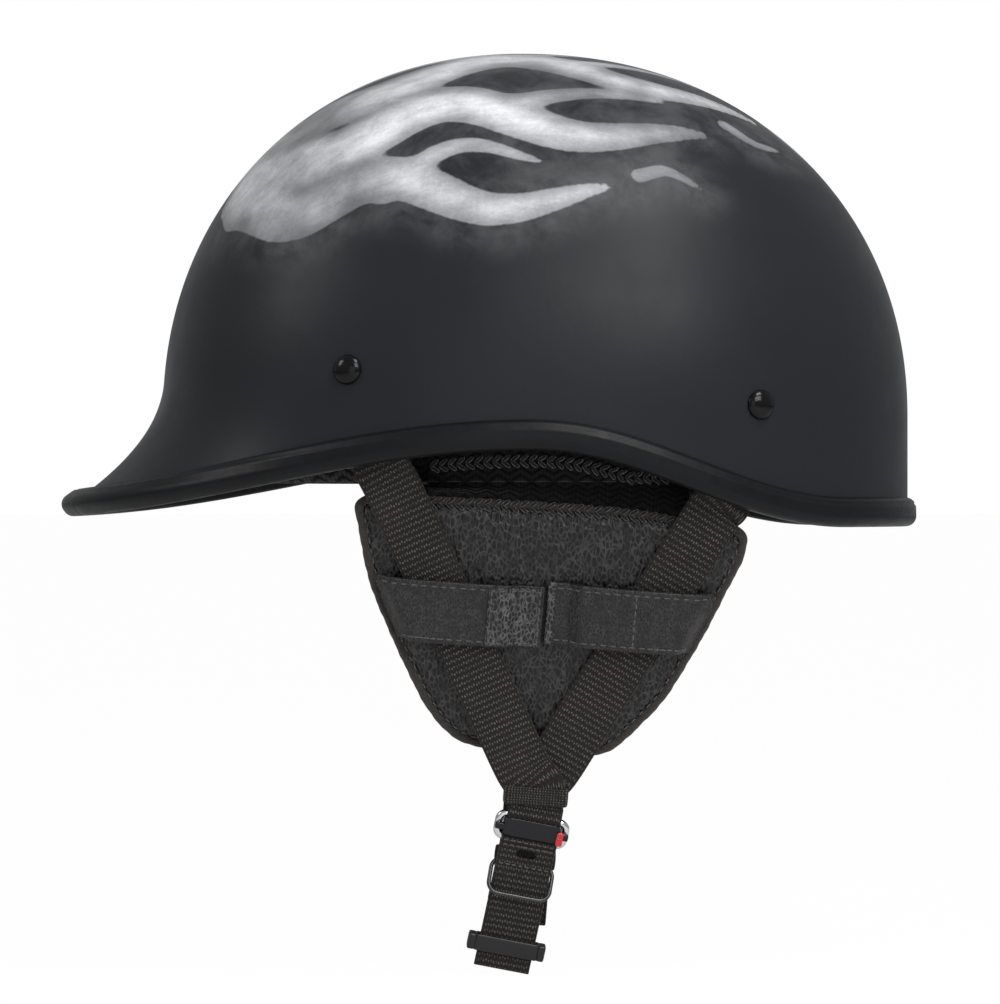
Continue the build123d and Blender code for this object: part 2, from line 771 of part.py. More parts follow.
def build():
    pieces = {}
    shell = outer_shell()
    pieces["outer_shell"] = shell
    pieces["edge_trim"] = edge_trim(shell)
    pieces["impact_liner"] = impact_liner()
    pieces["headband_pad"] = headband_pad()
    pieces["headband_hook_patches"] = headband_hook_patches()
    pieces["crown_pad"] = crown_pad()
    pieces["crown_hook_patch"] = crown_hook_patch()
    rivets = [rivet_solid(r) for r in (front_rivet, rear_rivet)]
    washers = [rivet_washer(r) for r in (front_rivet, rear_rivet)]
    pieces["strap_rivets"] = Compound(children=[only(r) for r in rivets + [mirrored(r) for r in rivets]])
    pieces["rivet_washers"] = Compound(children=[only(w) for w in washers + [mirrored(w) for w in washers]])
    both_sides("liner_edge", liner_edge(), pieces)
    both_sides("flap_hanger", flap_hanger(), pieces)
    for name, (rivet, ends), end_out in zip(("front", "rear"), strap_ends, (over_lift, 0)):
        root = strap_root(rivet, *ends, webbing_width, webbing_thickness) - rivet_hole(rivet, rivet_hole_clear)
        both_sides("strap_root_" + name, root, pieces)
        both_sides("strap_" + name, place(moving_strap(*ends, end_out)), pieces)
    both_sides("strap_sleeve", place(strap_sleeve()), pieces)
    both_sides("ear_flap", place(ear_flap()), pieces)
    both_sides("ear_flap_lining", place(ear_flap_lining()), pieces)
    both_sides("flap_binding", place(flap_binding()), pieces)
    both_sides("tab_hook_patch", place(hook_patch()), pieces)
    both_sides("keeper_tab_front", place(keeper_tab(-1)), pieces)
    both_sides("keeper_tab_rear", place(keeper_tab(1)), pieces)
    pieces["strap_loop_left"] = strap_loop()
    pieces["buckle_ring"] = buckle_ring()
    pieces["ring_plate"] = ring_plate()
    pieces["release_tab"] = release_tab()
    pieces["short_strap"] = short_strap()
    pieces["strap_keeper_ring"] = strap_keeper_ring()
    pieces["strap_slider"] = strap_slider()
    pieces["chin_strap"] = mirrored(chin_strap())
    pieces["chin_strap_loop"] = mirrored(chin_loop())
    return pieces


if __name__ == "__main__":
    os.makedirs("parts", exist_ok=True)
    for node, piece in build().items():
        export_step(piece, os.path.join("parts", node + ".step"))
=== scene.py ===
import bmesh
import bpy
import numpy as np
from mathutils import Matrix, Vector


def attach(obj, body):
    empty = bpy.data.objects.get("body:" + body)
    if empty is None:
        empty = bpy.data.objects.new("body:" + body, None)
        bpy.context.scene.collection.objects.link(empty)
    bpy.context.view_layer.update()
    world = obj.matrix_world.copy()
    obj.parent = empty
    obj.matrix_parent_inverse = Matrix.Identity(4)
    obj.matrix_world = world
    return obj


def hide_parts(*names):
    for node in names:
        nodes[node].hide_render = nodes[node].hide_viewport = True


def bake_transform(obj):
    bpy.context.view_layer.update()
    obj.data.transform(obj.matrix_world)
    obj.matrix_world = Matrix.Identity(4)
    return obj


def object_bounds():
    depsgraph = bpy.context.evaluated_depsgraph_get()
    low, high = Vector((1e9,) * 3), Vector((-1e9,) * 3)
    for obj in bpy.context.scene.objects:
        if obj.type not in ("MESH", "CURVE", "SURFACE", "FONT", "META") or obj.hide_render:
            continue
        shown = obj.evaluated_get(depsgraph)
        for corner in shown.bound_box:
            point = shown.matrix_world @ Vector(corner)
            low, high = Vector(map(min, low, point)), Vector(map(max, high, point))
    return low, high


bl_info = {
    "name": "Half shell helmet",
    "version": (1, 0, 0),
    "blender": (4, 5, 0),
    "location": "3D View > Sidebar > Helmet",
    "description": "Dresses the half shell helmet: painted shell, webbing, leather flaps and hardware",
    "category": "Add Mesh",
}

# The front is -X, the wearer's left side is -Y and up is +Z, in metres.
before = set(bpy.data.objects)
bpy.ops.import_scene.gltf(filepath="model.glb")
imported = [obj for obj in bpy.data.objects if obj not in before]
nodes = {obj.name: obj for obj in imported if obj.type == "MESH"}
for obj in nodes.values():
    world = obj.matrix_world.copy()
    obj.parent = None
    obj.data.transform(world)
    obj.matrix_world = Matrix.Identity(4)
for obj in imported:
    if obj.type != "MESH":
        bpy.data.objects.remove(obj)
cad_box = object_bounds()

# Shape of the dome, its peak and the rim line, as in the solid model
crown_set_forward = 0.007
dome_base_height = 0.032
dome_rise = 0.135
plan_power, dome_power = 2.15, 2.12
peak_reach, peak_height, peak_start = 0.025, 0.038, 0.045
peak_power, peak_spread_power = 1.9, 4
rim_rear_drop, rim_hump = 0.0026, 0.0242
rim_hump_forward, rim_front_run, rim_rear_run = 0.004, 0.190, 0.112

# Layers inside the shell: how far each stands in from the shell's outer face
foam_inner = 0.026
crown_foam_inner = 0.034
hanger_layer = 0.0018
pad_layer = foam_inner + hanger_layer
cloth_gap = 0.0009
headband_bottom, headband_top = 0.008, 0.050

# Swing plane of the left side's straps and flap, from two points on its axis and its lean from upright
swing_front = np.array([-0.055, -0.097, 0.006])
swing_rear = np.array([0.063, -0.092, -0.003])
side_lean = np.radians(12)

# Straps: their rivets' places along and up, where they start along the swing axis, how far below it they end,
# meet in the sleeve and hold the ring, and how the front one lies over the rear one
front_rivet, rear_rivet = (-0.068, 0.047), (0.076, 0.035)
strap_front_start, strap_rear_start = -0.0565, 0.056
strap_drop, sleeve_drop, sleeve_height = 0.101, 0.1034, 0.0064
tail_drop = 0.1107
ring_along, ring_drop, ring_height, chain_lean = 0.0025, 0.1152, 0.008, np.radians(7.0)
over_lift = 0.00185
chain_out = over_lift / 2
meet_half = 0.00314

# What hangs from the straps: the chin strap's top and its layers, the short strap's layers and its slider
chin_drop, chin_layer = 0.11173, 0.0019
short_layer, slider_drop = 0.00078, 0.040

# Outline of the ear flap, as shares of its width and its drop, and the levels of its layers
flap_width, flap_height, flap_front = 0.1395, 0.095, 0.0705
flap_shares = np.array([
    (0.012, 0.065), (0.022, 0.155), (0.060, 0.358), (0.120, 0.544), (0.178, 0.703), (0.235, 0.840),
    (0.303, 0.938), (0.380, 0.972), (0.506, 0.976), (0.630, 0.975), (0.707, 0.945), (0.788, 0.815),
    (0.833, 0.723), (0.877, 0.593), (0.920, 0.452), (0.962, 0.293), (0.998, 0.150), (0.985, 0.062),
    (0.849, 0.042), (0.721, 0.020), (0.470, 0.018), (0.194, 0.030), (0.070, 0.036),
])
flap_outer, flap_seam, flap_inner = -0.00185, -0.00565, -0.00975


def length_size(name, description, default, low=0.0002, high=0.3):
    return bpy.props.FloatProperty(name=name, description=description, default=default,
                                   min=low, max=high, unit="LENGTH", subtype="DISTANCE")


def paint(name, description, default):
    return bpy.props.FloatVectorProperty(name=name, description=description, default=default,
                                         size=3, min=0, max=1, subtype="COLOR")


class HelmetSizes(bpy.types.PropertyGroup):
    front_reach: length_size("Front reach", "From the crown line to the shell's front", 0.133)
    rear_reach: length_size("Rear reach", "From the crown line to the shell's rear", 0.143)
    half_width: length_size("Half width", "From the middle plane to the shell's side", 0.113)
    shell_wall: length_size("Shell wall", "Thickness of the shell", 0.0035)
    trim_height: length_size("Trim height", "Height of the rubber edge trim", 0.0107)
    trim_width: length_size("Trim width", "Width of the trim over both faces", 0.00845)
    rivet_radius: length_size("Rivet radius", "Radius of a rivet's domed head", 0.00525)
    rivet_height: length_size("Rivet height", "Height of a rivet's domed head", 0.0028)
    webbing_width: length_size("Webbing width", "Width of the chin straps", 0.020)
    webbing_thickness: length_size("Webbing thickness", "Thickness of the chin straps", 0.0015)
    weave_pitch: length_size("Weave pitch", "Distance between two ribs of the webbing", 0.0022)
    headband_thickness: length_size("Headband thickness", "Thickness of the headband pad", 0.007)
    crown_pad_length: length_size("Crown pad length", "Length of the crown pad", 0.104)
    crown_pad_width: length_size("Crown pad width", "Width of the crown pad", 0.078)
    crown_pad_thickness: length_size("Crown pad thickness", "Thickness of the crown pad", 0.008)
    cloth_thickness: length_size("Mesh cloth thickness", "Thickness of the liner's cloth edge", 0.0012)
    binding_width: length_size("Binding width", "Width of the felt edge of a flap", 0.003)
    tab_height: length_size("Tab height", "Height of a keeper tab", 0.0225)
    tab_thickness: length_size("Tab thickness", "Thickness of a keeper tab", 0.0018)
    stitch_length: length_size("Stitch length", "Length of one stitch", 0.0021)
    stitch_radius: length_size("Stitch radius", "Half the thickness of the thread", 0.00028)
    blaze_soften: length_size("Blaze edge", "Width of the blaze's sprayed edge", 0.0010)


class HelmetColours(bpy.types.PropertyGroup):
    shell_black: paint("Shell black", "Matte ground colour of the shell", (0.0105, 0.0115, 0.0132))
    blaze_silver: paint("Blaze silver", "Brightest grey of the sprayed blaze", (0.74, 0.745, 0.76))
    blaze_dark: paint("Blaze dark", "Darkest grey inside the blaze", (0.045, 0.046, 0.050))
    rubber: paint("Rubber", "Edge trim and loop", (0.0048, 0.0050, 0.0056))
    webbing: paint("Webbing", "Ground colour of the straps", (0.0105, 0.0095, 0.0088))
    webbing_dot: paint("Webbing dots", "Raised threads of the straps", (0.125, 0.114, 0.100))
    leather: paint("Leather", "Flaps and tabs", (0.0085, 0.0083, 0.0083))
    binding: paint("Binding", "Felt edge of the flaps", (0.034, 0.029, 0.026))
    mesh_cloth: paint("Mesh cloth", "Padding cloth with small holes", (0.0070, 0.0069, 0.0070))
    lining: paint("Lining", "Brown lining of the flaps", (0.062, 0.036, 0.028))
    foam: paint("Foam", "Moulded bead foam", (0.045, 0.045, 0.047))
    steel: paint("Steel", "Polished ring and washers", (0.62, 0.62, 0.63))
    release_red: paint("Release red", "Tab of the quick release", (0.42, 0.010, 0.014))
    thread: paint("Thread", "Sewing thread", (0.055, 0.050, 0.045))


def sizes():
    return bpy.context.scene.helmet_sizes


def colours():
    return bpy.context.scene.helmet_colours


# The two sides by name, with the signs that turn the left side's points over to each
sides = (("left", np.array([1, 1, 1])), ("right", np.array([1, -1, 1])))
straight_left = np.array([0, -1.0, 0.0])


# Numbers and lines

def unit(v):
    return v / np.linalg.norm(v, axis=-1, keepdims=True)


along_side = unit(swing_rear - swing_front)
level_out = unit(np.array([along_side[1], -along_side[0], 0.0]))
up_flat = np.cross(level_out, along_side)
out_side = level_out * np.cos(side_lean) - up_flat * np.sin(side_lean)
side_axes = np.array([along_side, np.cross(out_side, along_side), out_side])
side_middle = (swing_front + swing_rear) / 2


def side_points(along, up, out):
    """Points of the left side's swing plane: middle + along, up and out times its axes."""
    along, up, out = np.broadcast_arrays(along, up, out)
    return side_middle + np.stack([along, up, out], -1) @ side_axes


def chain_points(level, up, out, drop=0.0):
    """Points of the leaning frame of the ring, whose origin is the ring's upper bar."""
    level, up, out = np.broadcast_arrays(level, up, out)
    c, s = np.cos(chain_lean), np.sin(chain_lean)
    up = up - drop
    return side_points(ring_along + level * c + up * s, -ring_drop - level * s + up * c, chain_out + out)


def smooth_line(points, count, closed=False):
    """A smooth line through points, count points evenly spaced along it: cubic pieces whose slope at a
    point is half the step between its two neighbours."""
    points = np.asarray(points, float)
    if closed:
        p = np.concatenate([points[-1:], points, points[:2]])
    else:
        p = np.concatenate([2 * points[:1] - points[1:2], points, 2 * points[-1:] - points[-2:-1]])
    t = np.linspace(0, 1, 24, endpoint=False)[None, :, None]
    a, b, c, d = (p[i:len(p) - 3 + i, None, :] for i in range(4))
    fine = 0.5 * (2 * b + (c - a) * t + (2 * a - 5 * b + 4 * c - d) * t ** 2
                  + (3 * b - a - 3 * c + d) * t ** 3)
    fine = np.concatenate([fine.reshape(-1, points.shape[1]), p[-2:-1]])
    return even_line(fine, count, closed)


def even_line(points, count, closed=False):
    """The same line with count points evenly spaced by its length."""
    run = line_run(points)
    at = np.linspace(0, run[-1], count, endpoint=not closed)
    return np.stack([np.interp(at, run, points[:, k]) for k in range(points.shape[1])], -1)


def line_run(points, closed=False):
    """Length from the first point to each point of a line, and of a closed one back to the first."""
    if closed:
        points = np.concatenate([points, points[:1]])
    return np.concatenate([[0], np.cumsum(np.linalg.norm(np.diff(points, axis=0), axis=1))])


def rounded_outline(width, height, radius, wide=12, tall=2, arc=5):
    """A rectangle with rounded corners as a closed row of points: four quarter arcs and straight runs."""
    a = np.linspace(0, np.pi / 2, arc)
    signs = ((1, 1), (-1, 1), (-1, -1), (1, -1))
    arcs = [np.array([sx * (width / 2 - radius), sy * (height / 2 - radius)])
            + radius * np.stack([np.cos(a + k * np.pi / 2), np.sin(a + k * np.pi / 2)], -1)
            for k, (sx, sy) in enumerate(signs)]
    rows = []
    for k, this in enumerate(arcs):
        after = arcs[(k + 1) % 4][0]
        steps = np.linspace(0, 1, (wide if k % 2 == 0 else tall) + 2)[1:-1, None]
        rows += [this, this[-1] + (after - this[-1]) * steps]
    return np.concatenate(rows)


def smooth_step(value, low, high):
    t = np.clip((value - low) / (high - low), 0, 1)
    return t * t * (3 - 2 * t)


# The dome

def plan_radius(azimuth, inset):
    """Reach of the wall by azimuth, an oval of power 2.15 with a longer half at the rear."""
    s = sizes()
    along, across = np.cos(azimuth), np.sin(azimuth)
    reach = np.where(along > 0, s.rear_reach, s.front_reach) - inset
    half = s.half_width - inset
    return ((abs(along) / reach) ** plan_power + (abs(across) / half) ** plan_power) ** (-1 / plan_power)


def dome_shrink(height, rise):
    """How the oval shrinks with height, again by an oval of power 2.12."""
    share = np.clip((height - dome_base_height) / rise, 0, 1)
    return (1 - share ** dome_power) ** (1 / dome_power)


def wall(azimuth, height, inset, flared=True, crown_inset=None):
    """A point of the wall: the plan's reach times the shrink, plus the peak's flare at the front."""
    azimuth, height = np.broadcast_arrays(np.asarray(azimuth, float), np.asarray(height, float))
    rise = dome_rise - (inset if crown_inset is None else crown_inset)
    radius = plan_radius(azimuth, inset) * dome_shrink(height, rise)
    if flared:
        depth = np.clip(peak_start - height, 0, None) / peak_height
        spread = np.clip(-np.cos(azimuth), 0, None) ** peak_spread_power
        radius = radius + peak_reach * depth ** peak_power * spread
    return np.stack([radius * np.cos(azimuth) - crown_set_forward, radius * np.sin(azimuth), height], -1)


def wall_out(x, height, inset):
    """How far from the middle plane the wall stands at a place along it and a height."""
    s = sizes()
    reach = np.where(x > -crown_set_forward, s.rear_reach, s.front_reach) - inset
    share = dome_shrink(height, dome_rise - inset) ** plan_power
    share = share - (abs(x + crown_set_forward) / reach) ** plan_power
    return (s.half_width - inset) * np.clip(share, 0, None) ** (1 / plan_power)


def dome_height(x, y, inset, crown_inset):
    """Height of the dome over a place in plan."""
    s = sizes()
    reach = np.where(x > -crown_set_forward, s.rear_reach, s.front_reach) - inset
    half = s.half_width - inset
    share = (abs(x + crown_set_forward) / reach) ** plan_power + (abs(y) / half) ** plan_power
    share = np.clip(1 - share ** (dome_power / plan_power), 0, None)
    return dome_base_height + (dome_rise - crown_inset) * share ** (1 / dome_power)


def rim_height(x):
    """Height of the rim line, a cosine hump over the ear that falls to the front and the rear."""
    along = x + rim_hump_forward
    base = np.where(along < 0, 0.0, -rim_rear_drop)
    share = np.clip(abs(along) / np.where(along < 0, rim_front_run, rim_rear_run), 0, 1)
    return base + (rim_hump - base) * (1 + np.cos(np.pi * share)) / 2


def rim_line(azimuth, inset):
    """The wall's points at the rim line, by repeated correction of the height."""
    point = wall(azimuth, np.zeros_like(azimuth), inset)
    for _ in range(12):
        point = wall(azimuth, rim_height(point[..., 0]), inset)
    return point


def left_wall(x, height, inset=0.0):
    """One point of the left wall at a place along it and a height."""
    return np.array([x, -float(wall_out(np.array(x), np.array(height), inset)), height])


def wall_facing(x, height):
    """Outward direction of the left wall at a place, from two short steps on it."""
    step = 0.00175
    along = left_wall(x + step, height) - left_wall(x - step, height)
    return unit(np.cross(along, left_wall(x, height + step) - left_wall(x, height - step)))


# Meshes

def turned(part, signs):
    """A grid with its points turned over to a side."""
    return (part[0] * signs, *part[1:])


def grid(points, u=None, v=None, loop_rows=False, pinch=True):
    """One closed surface: rows of points, each row a closed loop. Open ends are pinched to their middle."""
    rows, cols = points.shape[:2]
    u = np.arange(rows + 1.0) if u is None else u
    v = np.arange(cols + 1.0) if v is None else np.append(v, v[0])
    if not loop_rows and pinch:
        first, last = points[:1].mean(1, keepdims=True), points[-1:].mean(1, keepdims=True)
        points = np.concatenate([first.repeat(cols, 1), points, last.repeat(cols, 1)])
        u = np.concatenate([u[:1], u[:rows], u[rows - 1:rows]])
        rows += 2
    return points, u, v, loop_rows


def piece(name, grids, finish, body=None, stands_for=(), slot=None, crease=None, values=None):
    """A mesh object made of closed grids, with the grids' lengths as its map in metres."""
    all_points, all_quads, all_uv, start = [], [], [], 0
    for points, u, v, loop_rows in grids:
        rows, cols = points.shape[:2]
        r, c = np.meshgrid(np.arange(rows if loop_rows else rows - 1), np.arange(cols), indexing="ij")
        r, c = r.ravel(), c.ravel()
        r2, c2 = (r + 1) % rows, (c + 1) % cols
        all_quads.append(np.stack([r * cols + c, r * cols + c2, r2 * cols + c2, r2 * cols + c], -1) + start)
        all_uv.append(np.stack([u[r], v[c], u[r], v[c + 1], u[r + 1], v[c + 1], u[r + 1], v[c]], -1).ravel())
        all_points.append(points.reshape(-1, 3))
        start += rows * cols
    mesh = bpy.data.meshes.new(name)
    mesh.from_pydata(np.concatenate(all_points).tolist(), [], np.concatenate(all_quads).tolist())
    mesh.uv_layers.new(name="Lay").data.foreach_set("uv", np.concatenate(all_uv).astype(np.float32))
    for key, value in (values or {}).items():
        mesh.attributes.new(key, "FLOAT", "POINT").data.foreach_set("value", value.ravel().astype(np.float32))
    made = bmesh.new()
    made.from_mesh(mesh)
    bmesh.ops.remove_doubles(made, verts=made.verts, dist=2e-6)
    bmesh.ops.recalc_face_normals(made, faces=made.faces)
    made.to_mesh(mesh)
    made.free()
    mesh.shade_smooth()
    if crease:
        mesh.set_sharp_from_angle(angle=np.radians(crease))
    obj = bpy.data.objects.new(name, mesh)
    bpy.context.scene.collection.objects.link(obj)
    mesh.materials.append(finishes[finish])
    if stands_for:
        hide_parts(*stands_for)
    if body:
        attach(obj, body)
    return obj


def pair(name, part, finish, body, stands_for, slot):
    """The left side's piece and its mirror image. In each name * stands for the side's own name."""
    return [piece(name.replace("*", side), [turned(part, signs)], finish, body and body.replace("*", side),
                  [node.replace("*", side) for node in stands_for], slot) for side, signs in sides]


def band(line, across, width, thickness, corner=0.45):
    """A flat band along a line: a rounded rectangle whose wide way follows across."""
    step = np.roll(line, -1, 0) - np.roll(line, 1, 0)
    step[0], step[-1] = line[1] - line[0], line[-1] - line[-2]
    ahead = unit(step)
    across = np.broadcast_to(across, line.shape)
    across = unit(across - ahead * (across * ahead).sum(-1, keepdims=True))
    facing = np.cross(across, ahead)
    outline = rounded_outline(width, thickness, thickness * corner)
    points = line[:, None] + across[:, None] * outline[None, :, :1] + facing[:, None] * outline[None, :, 1:]
    return grid(points, line_run(line), outline[:, 0])


def collar(place, width, height, wall_size, tall, rise):
    """A band bent round a rounded rectangle, its outside swelling by a parabola to a rise at its middle.
    place(a, b, c) turns its own axes into the frame's: a and b in the opening's plane, c along its bore."""
    ring = rounded_outline(width + wall_size, height + wall_size, height * 0.38, 14, 4, 7)
    ahead = unit(np.roll(ring, -1, 0) - np.roll(ring, 1, 0))
    outward = np.stack([ahead[:, 1], -ahead[:, 0]], -1)
    edge = rounded_outline(wall_size, tall, wall_size * 0.42, 2, 8)
    flat = ring[:, None] + outward[:, None] * edge[None, :, :1]
    depth = np.broadcast_to(edge[None, :, 1], flat.shape[:2])
    swell = rise * (1 - (depth / (tall / 2)) ** 2) * (edge[None, :, 0] > 0)
    flat = flat + outward[:, None] * swell[..., None]
    return grid(place(flat[..., 0], flat[..., 1], depth), line_run(ring, True), edge[:, 1], loop_rows=True)


def block(place, centre, size, power):
    """A block with rounded edges: the surface |a|^n + |b|^n + |c|^n = 1 stretched to its size."""
    lat = np.linspace(-np.pi / 2, np.pi / 2, 30)[1:-1, None]
    lon = np.linspace(0, 2 * np.pi, 48, endpoint=False)[None, :]
    way = np.stack(np.broadcast_arrays(np.cos(lat) * np.cos(lon), np.cos(lat) * np.sin(lon), np.sin(lat)), -1)
    way = way / (abs(way) ** power).sum(-1, keepdims=True) ** (1 / power)
    p = np.array(centre) + way * np.array(size) / 2
    return grid(place(p[..., 0], p[..., 1], p[..., 2]))


def thread(name, points, ahead, out, body, sink, stretch=1.0, thick=1.0, finish="thread", slot="webbing"):
    """A row of stitches: each a short bar with round ends, laid along its direction and half sunk."""
    s = sizes()
    lat = np.linspace(-np.pi / 2, np.pi / 2, 7)[:, None]
    lon = np.linspace(0, 2 * np.pi, 6, endpoint=False)[None, :]
    radius = s.stitch_radius * thick
    round_off = np.cos(lat) ** 0.6 * radius
    a, b, c = np.broadcast_arrays(np.sin(lat) * s.stitch_length * stretch / 2, round_off * np.cos(lon),
                                  round_off * np.sin(lon))
    ahead, out = unit(ahead), unit(out)
    side = np.cross(out, ahead)
    centre = points + out * radius * (1 - 2 * sink)
    grids = [grid(m + a[..., None] * t + b[..., None] * w + c[..., None] * o, pinch=False)
             for m, t, w, o in zip(centre, ahead, side, out)]
    return piece(name, grids, finish, body, slot=slot)


def braid(name, line, out, body, pitch=0.0030):
    """A knitted edge: along a line, two rows of thick stitches that slant to meet in arrow heads."""
    line = even_line(line, int(line_run(line)[-1] / pitch))
    ahead = unit(np.gradient(line, axis=0))
    out = np.broadcast_to(out, line.shape)
    up = unit(np.cross(out, ahead))
    spots = np.concatenate([line + up * pitch * 0.36, line - up * pitch * 0.36])
    ways = np.concatenate([ahead * 0.8 + up * 0.6, ahead * 0.8 - up * 0.6])
    return thread(name, spots, ways, np.tile(out, (2, 1)), body, 0.25, 1.75, 2.5, "binding_knit",
                  "binding_cloth")


# Finishes

finishes = {}


class Nodes:
    """Short calls for the nodes of a tree. An input is given by its name, or as _ and its number."""

    def __init__(self, tree):
        self.tree = tree

    def put(self, node, **inputs):
        for key, value in inputs.items():
            socket = node.inputs[int(key[1:])] if key[1:].isdigit() else node.inputs[key.replace("_", " ")]
            if isinstance(value, bpy.types.NodeSocket):
                self.tree.links.new(value, socket)
            elif socket.type == "RGBA" and len(value) == 3:
                socket.default_value = (*value, 1)
            else:
                socket.default_value = value
        return node

    def node(self, kind, settings=None, **inputs):
        made = self.tree.nodes.new("ShaderNode" + kind)
        for key, value in (settings or {}).items():
            setattr(made, key, value)
        return self.put(made, **inputs)

    def math(self, way, a, b=0.0, clamp=False):
        return self.node("Math", {"operation": way, "use_clamp": clamp}, _0=a, _1=b).outputs[0]

    def times(self, a, b, clamp=False):
        return self.math("MULTIPLY", a, b, clamp)

    def plus(self, a, b):
        return self.math("ADD", a, b)

    def wave(self, value):
        """The height |sin(pi value)|: one arch for each whole step."""
        return self.math("ABSOLUTE", self.math("SINE", self.times(value, np.pi)))


class Finish(Nodes):
    """A material and its shader, with patterns placed by the piece's own coordinates."""

    def __init__(self, name, colour, roughness, metallic=0.0):
        self.material = bpy.data.materials.new(name)
        self.material.use_nodes = True
        super().__init__(self.material.node_tree)
        self.shader = self.tree.nodes["Principled BSDF"]
        self.put(self.shader, Base_Color=colour, Roughness=roughness, Metallic=metallic)
        self.places = self.tree.nodes.new("ShaderNodeTexCoord").outputs["Object"]
        finishes[name] = self.material

    def stretch(self, scale, turn=(0, 0, 0)):
        return self.node("Mapping", None, Vector=self.places, Scale=scale, Rotation=turn).outputs[0]

    def noise(self, scale, detail=3.0, rough=0.55, source=None, twist=0.0):
        return self.node("TexNoise", None, Vector=source or self.places, Scale=scale, Detail=detail,
                         Roughness=rough, Distortion=twist).outputs["Fac"]

    def cells(self, scale, feature="F1", source=None):
        return self.node("TexVoronoi", {"feature": feature}, Vector=source or self.places,
                         Scale=scale).outputs["Distance"]

    def ramp(self, value, low, high, to_low=0.0, to_high=1.0):
        return self.node("MapRange", {"interpolation_type": "SMOOTHSTEP"}, Value=value, From_Min=low,
                         From_Max=high, To_Min=to_low, To_Max=to_high).outputs[0]

    def mix(self, share, a, b):
        return self.node("Mix", {"data_type": "RGBA"}, _0=share, _6=a, _7=b).outputs[2]

    def bump(self, height, distance, under=None):
        node = self.node("Bump", None, Height=height, Distance=distance)
        if under:
            self.tree.links.new(under, node.inputs["Normal"])
        return node.outputs[0]

    def lay(self):
        """The piece's own map: run and width in metres, as two numbers."""
        parts = self.node("SeparateXYZ", None, Vector=self.node("UVMap", {"uv_map": "Lay"}).outputs[0])
        return parts.outputs[0], parts.outputs[1]

    def finish(self, **inputs):
        self.put(self.shader, **inputs)
        return self.material


def darker(colour, share):
    """A colour times a share, which also lightens it where the share is over 1."""
    return tuple(c * share for c in colour)


def shell_paint():
    """Matte black with a sprayed edge, clouds, strokes and specks inside the blaze and a haze round it."""
    c, s = colours(), sizes()
    f = Finish("shell_paint", c.shell_black, 0.40)
    reach = f.node("Attribute", {"attribute_name": "blaze"}).outputs["Fac"]
    ragged = f.times(f.math("SUBTRACT", f.noise(130, 4, 0.6), 0.5), 0.0012)
    edge = f.plus(reach, ragged)
    inside = f.ramp(edge, 0.0, -s.blaze_soften)
    core = f.ramp(edge, 0.001, -0.0105, 0.34, 1.0)
    broad = f.ramp(f.noise(15, 3, 0.5, twist=0.3), 0.36, 0.62, 0.26, 1.0)
    clouds = f.ramp(f.noise(60, 6, 0.66, twist=0.4), 0.30, 0.70)
    strokes = f.ramp(f.noise(190, 5, 0.7, f.stretch((0.35, 1.6, 1.0), (0, 0.3, 0.2))), 0.30, 0.70)
    specks = f.ramp(f.noise(900, 2, 0.5), 0.42, 0.7)
    light = f.plus(0.42, f.times(clouds, 0.30))
    light = f.plus(light, f.times(strokes, 0.20))
    light = f.plus(light, f.times(specks, 0.08))
    light = f.times(f.times(light, broad), core, True)
    sprayed = f.mix(light, c.blaze_dark, c.blaze_silver)
    haze = f.times(f.ramp(reach, 0.016, 0.0), f.times(clouds, 0.07))
    ground = f.mix(haze, c.shell_black, c.blaze_silver)
    ground = f.mix(f.times(f.noise(9, 3), 0.35), ground, darker(c.shell_black, 1.8))
    worn = f.ramp(f.noise(30, 4, 0.6), 0.3, 0.75, 0.36, 0.46)
    grain = f.bump(f.noise(1500, 2), 0.00002)
    peel = f.bump(f.noise(260, 2), 0.00004, under=grain)
    shade = f.mix(inside, ground, sprayed)
    return f.finish(Base_Color=shade, Roughness=worn, Specular_IOR_Level=0.12, Normal=peel)


def rubber(name, colour, roughness):
    """Dull rubber with a fine skin over long waves."""
    f = Finish(name, colour, roughness)
    shade = f.mix(f.noise(70, 4, 0.6), darker(colour, 0.75), darker(colour, 1.35))
    marks = f.ramp(f.noise(240, 5, 0.7), 0.25, 0.8, roughness - 0.06, roughness + 0.10)
    skin = f.bump(f.noise(1800, 2), 0.00004)
    waves = f.bump(f.noise(90, 2), 0.00012, under=skin)
    return f.finish(Base_Color=shade, Roughness=marks, Specular_IOR_Level=0.13, Normal=waves)


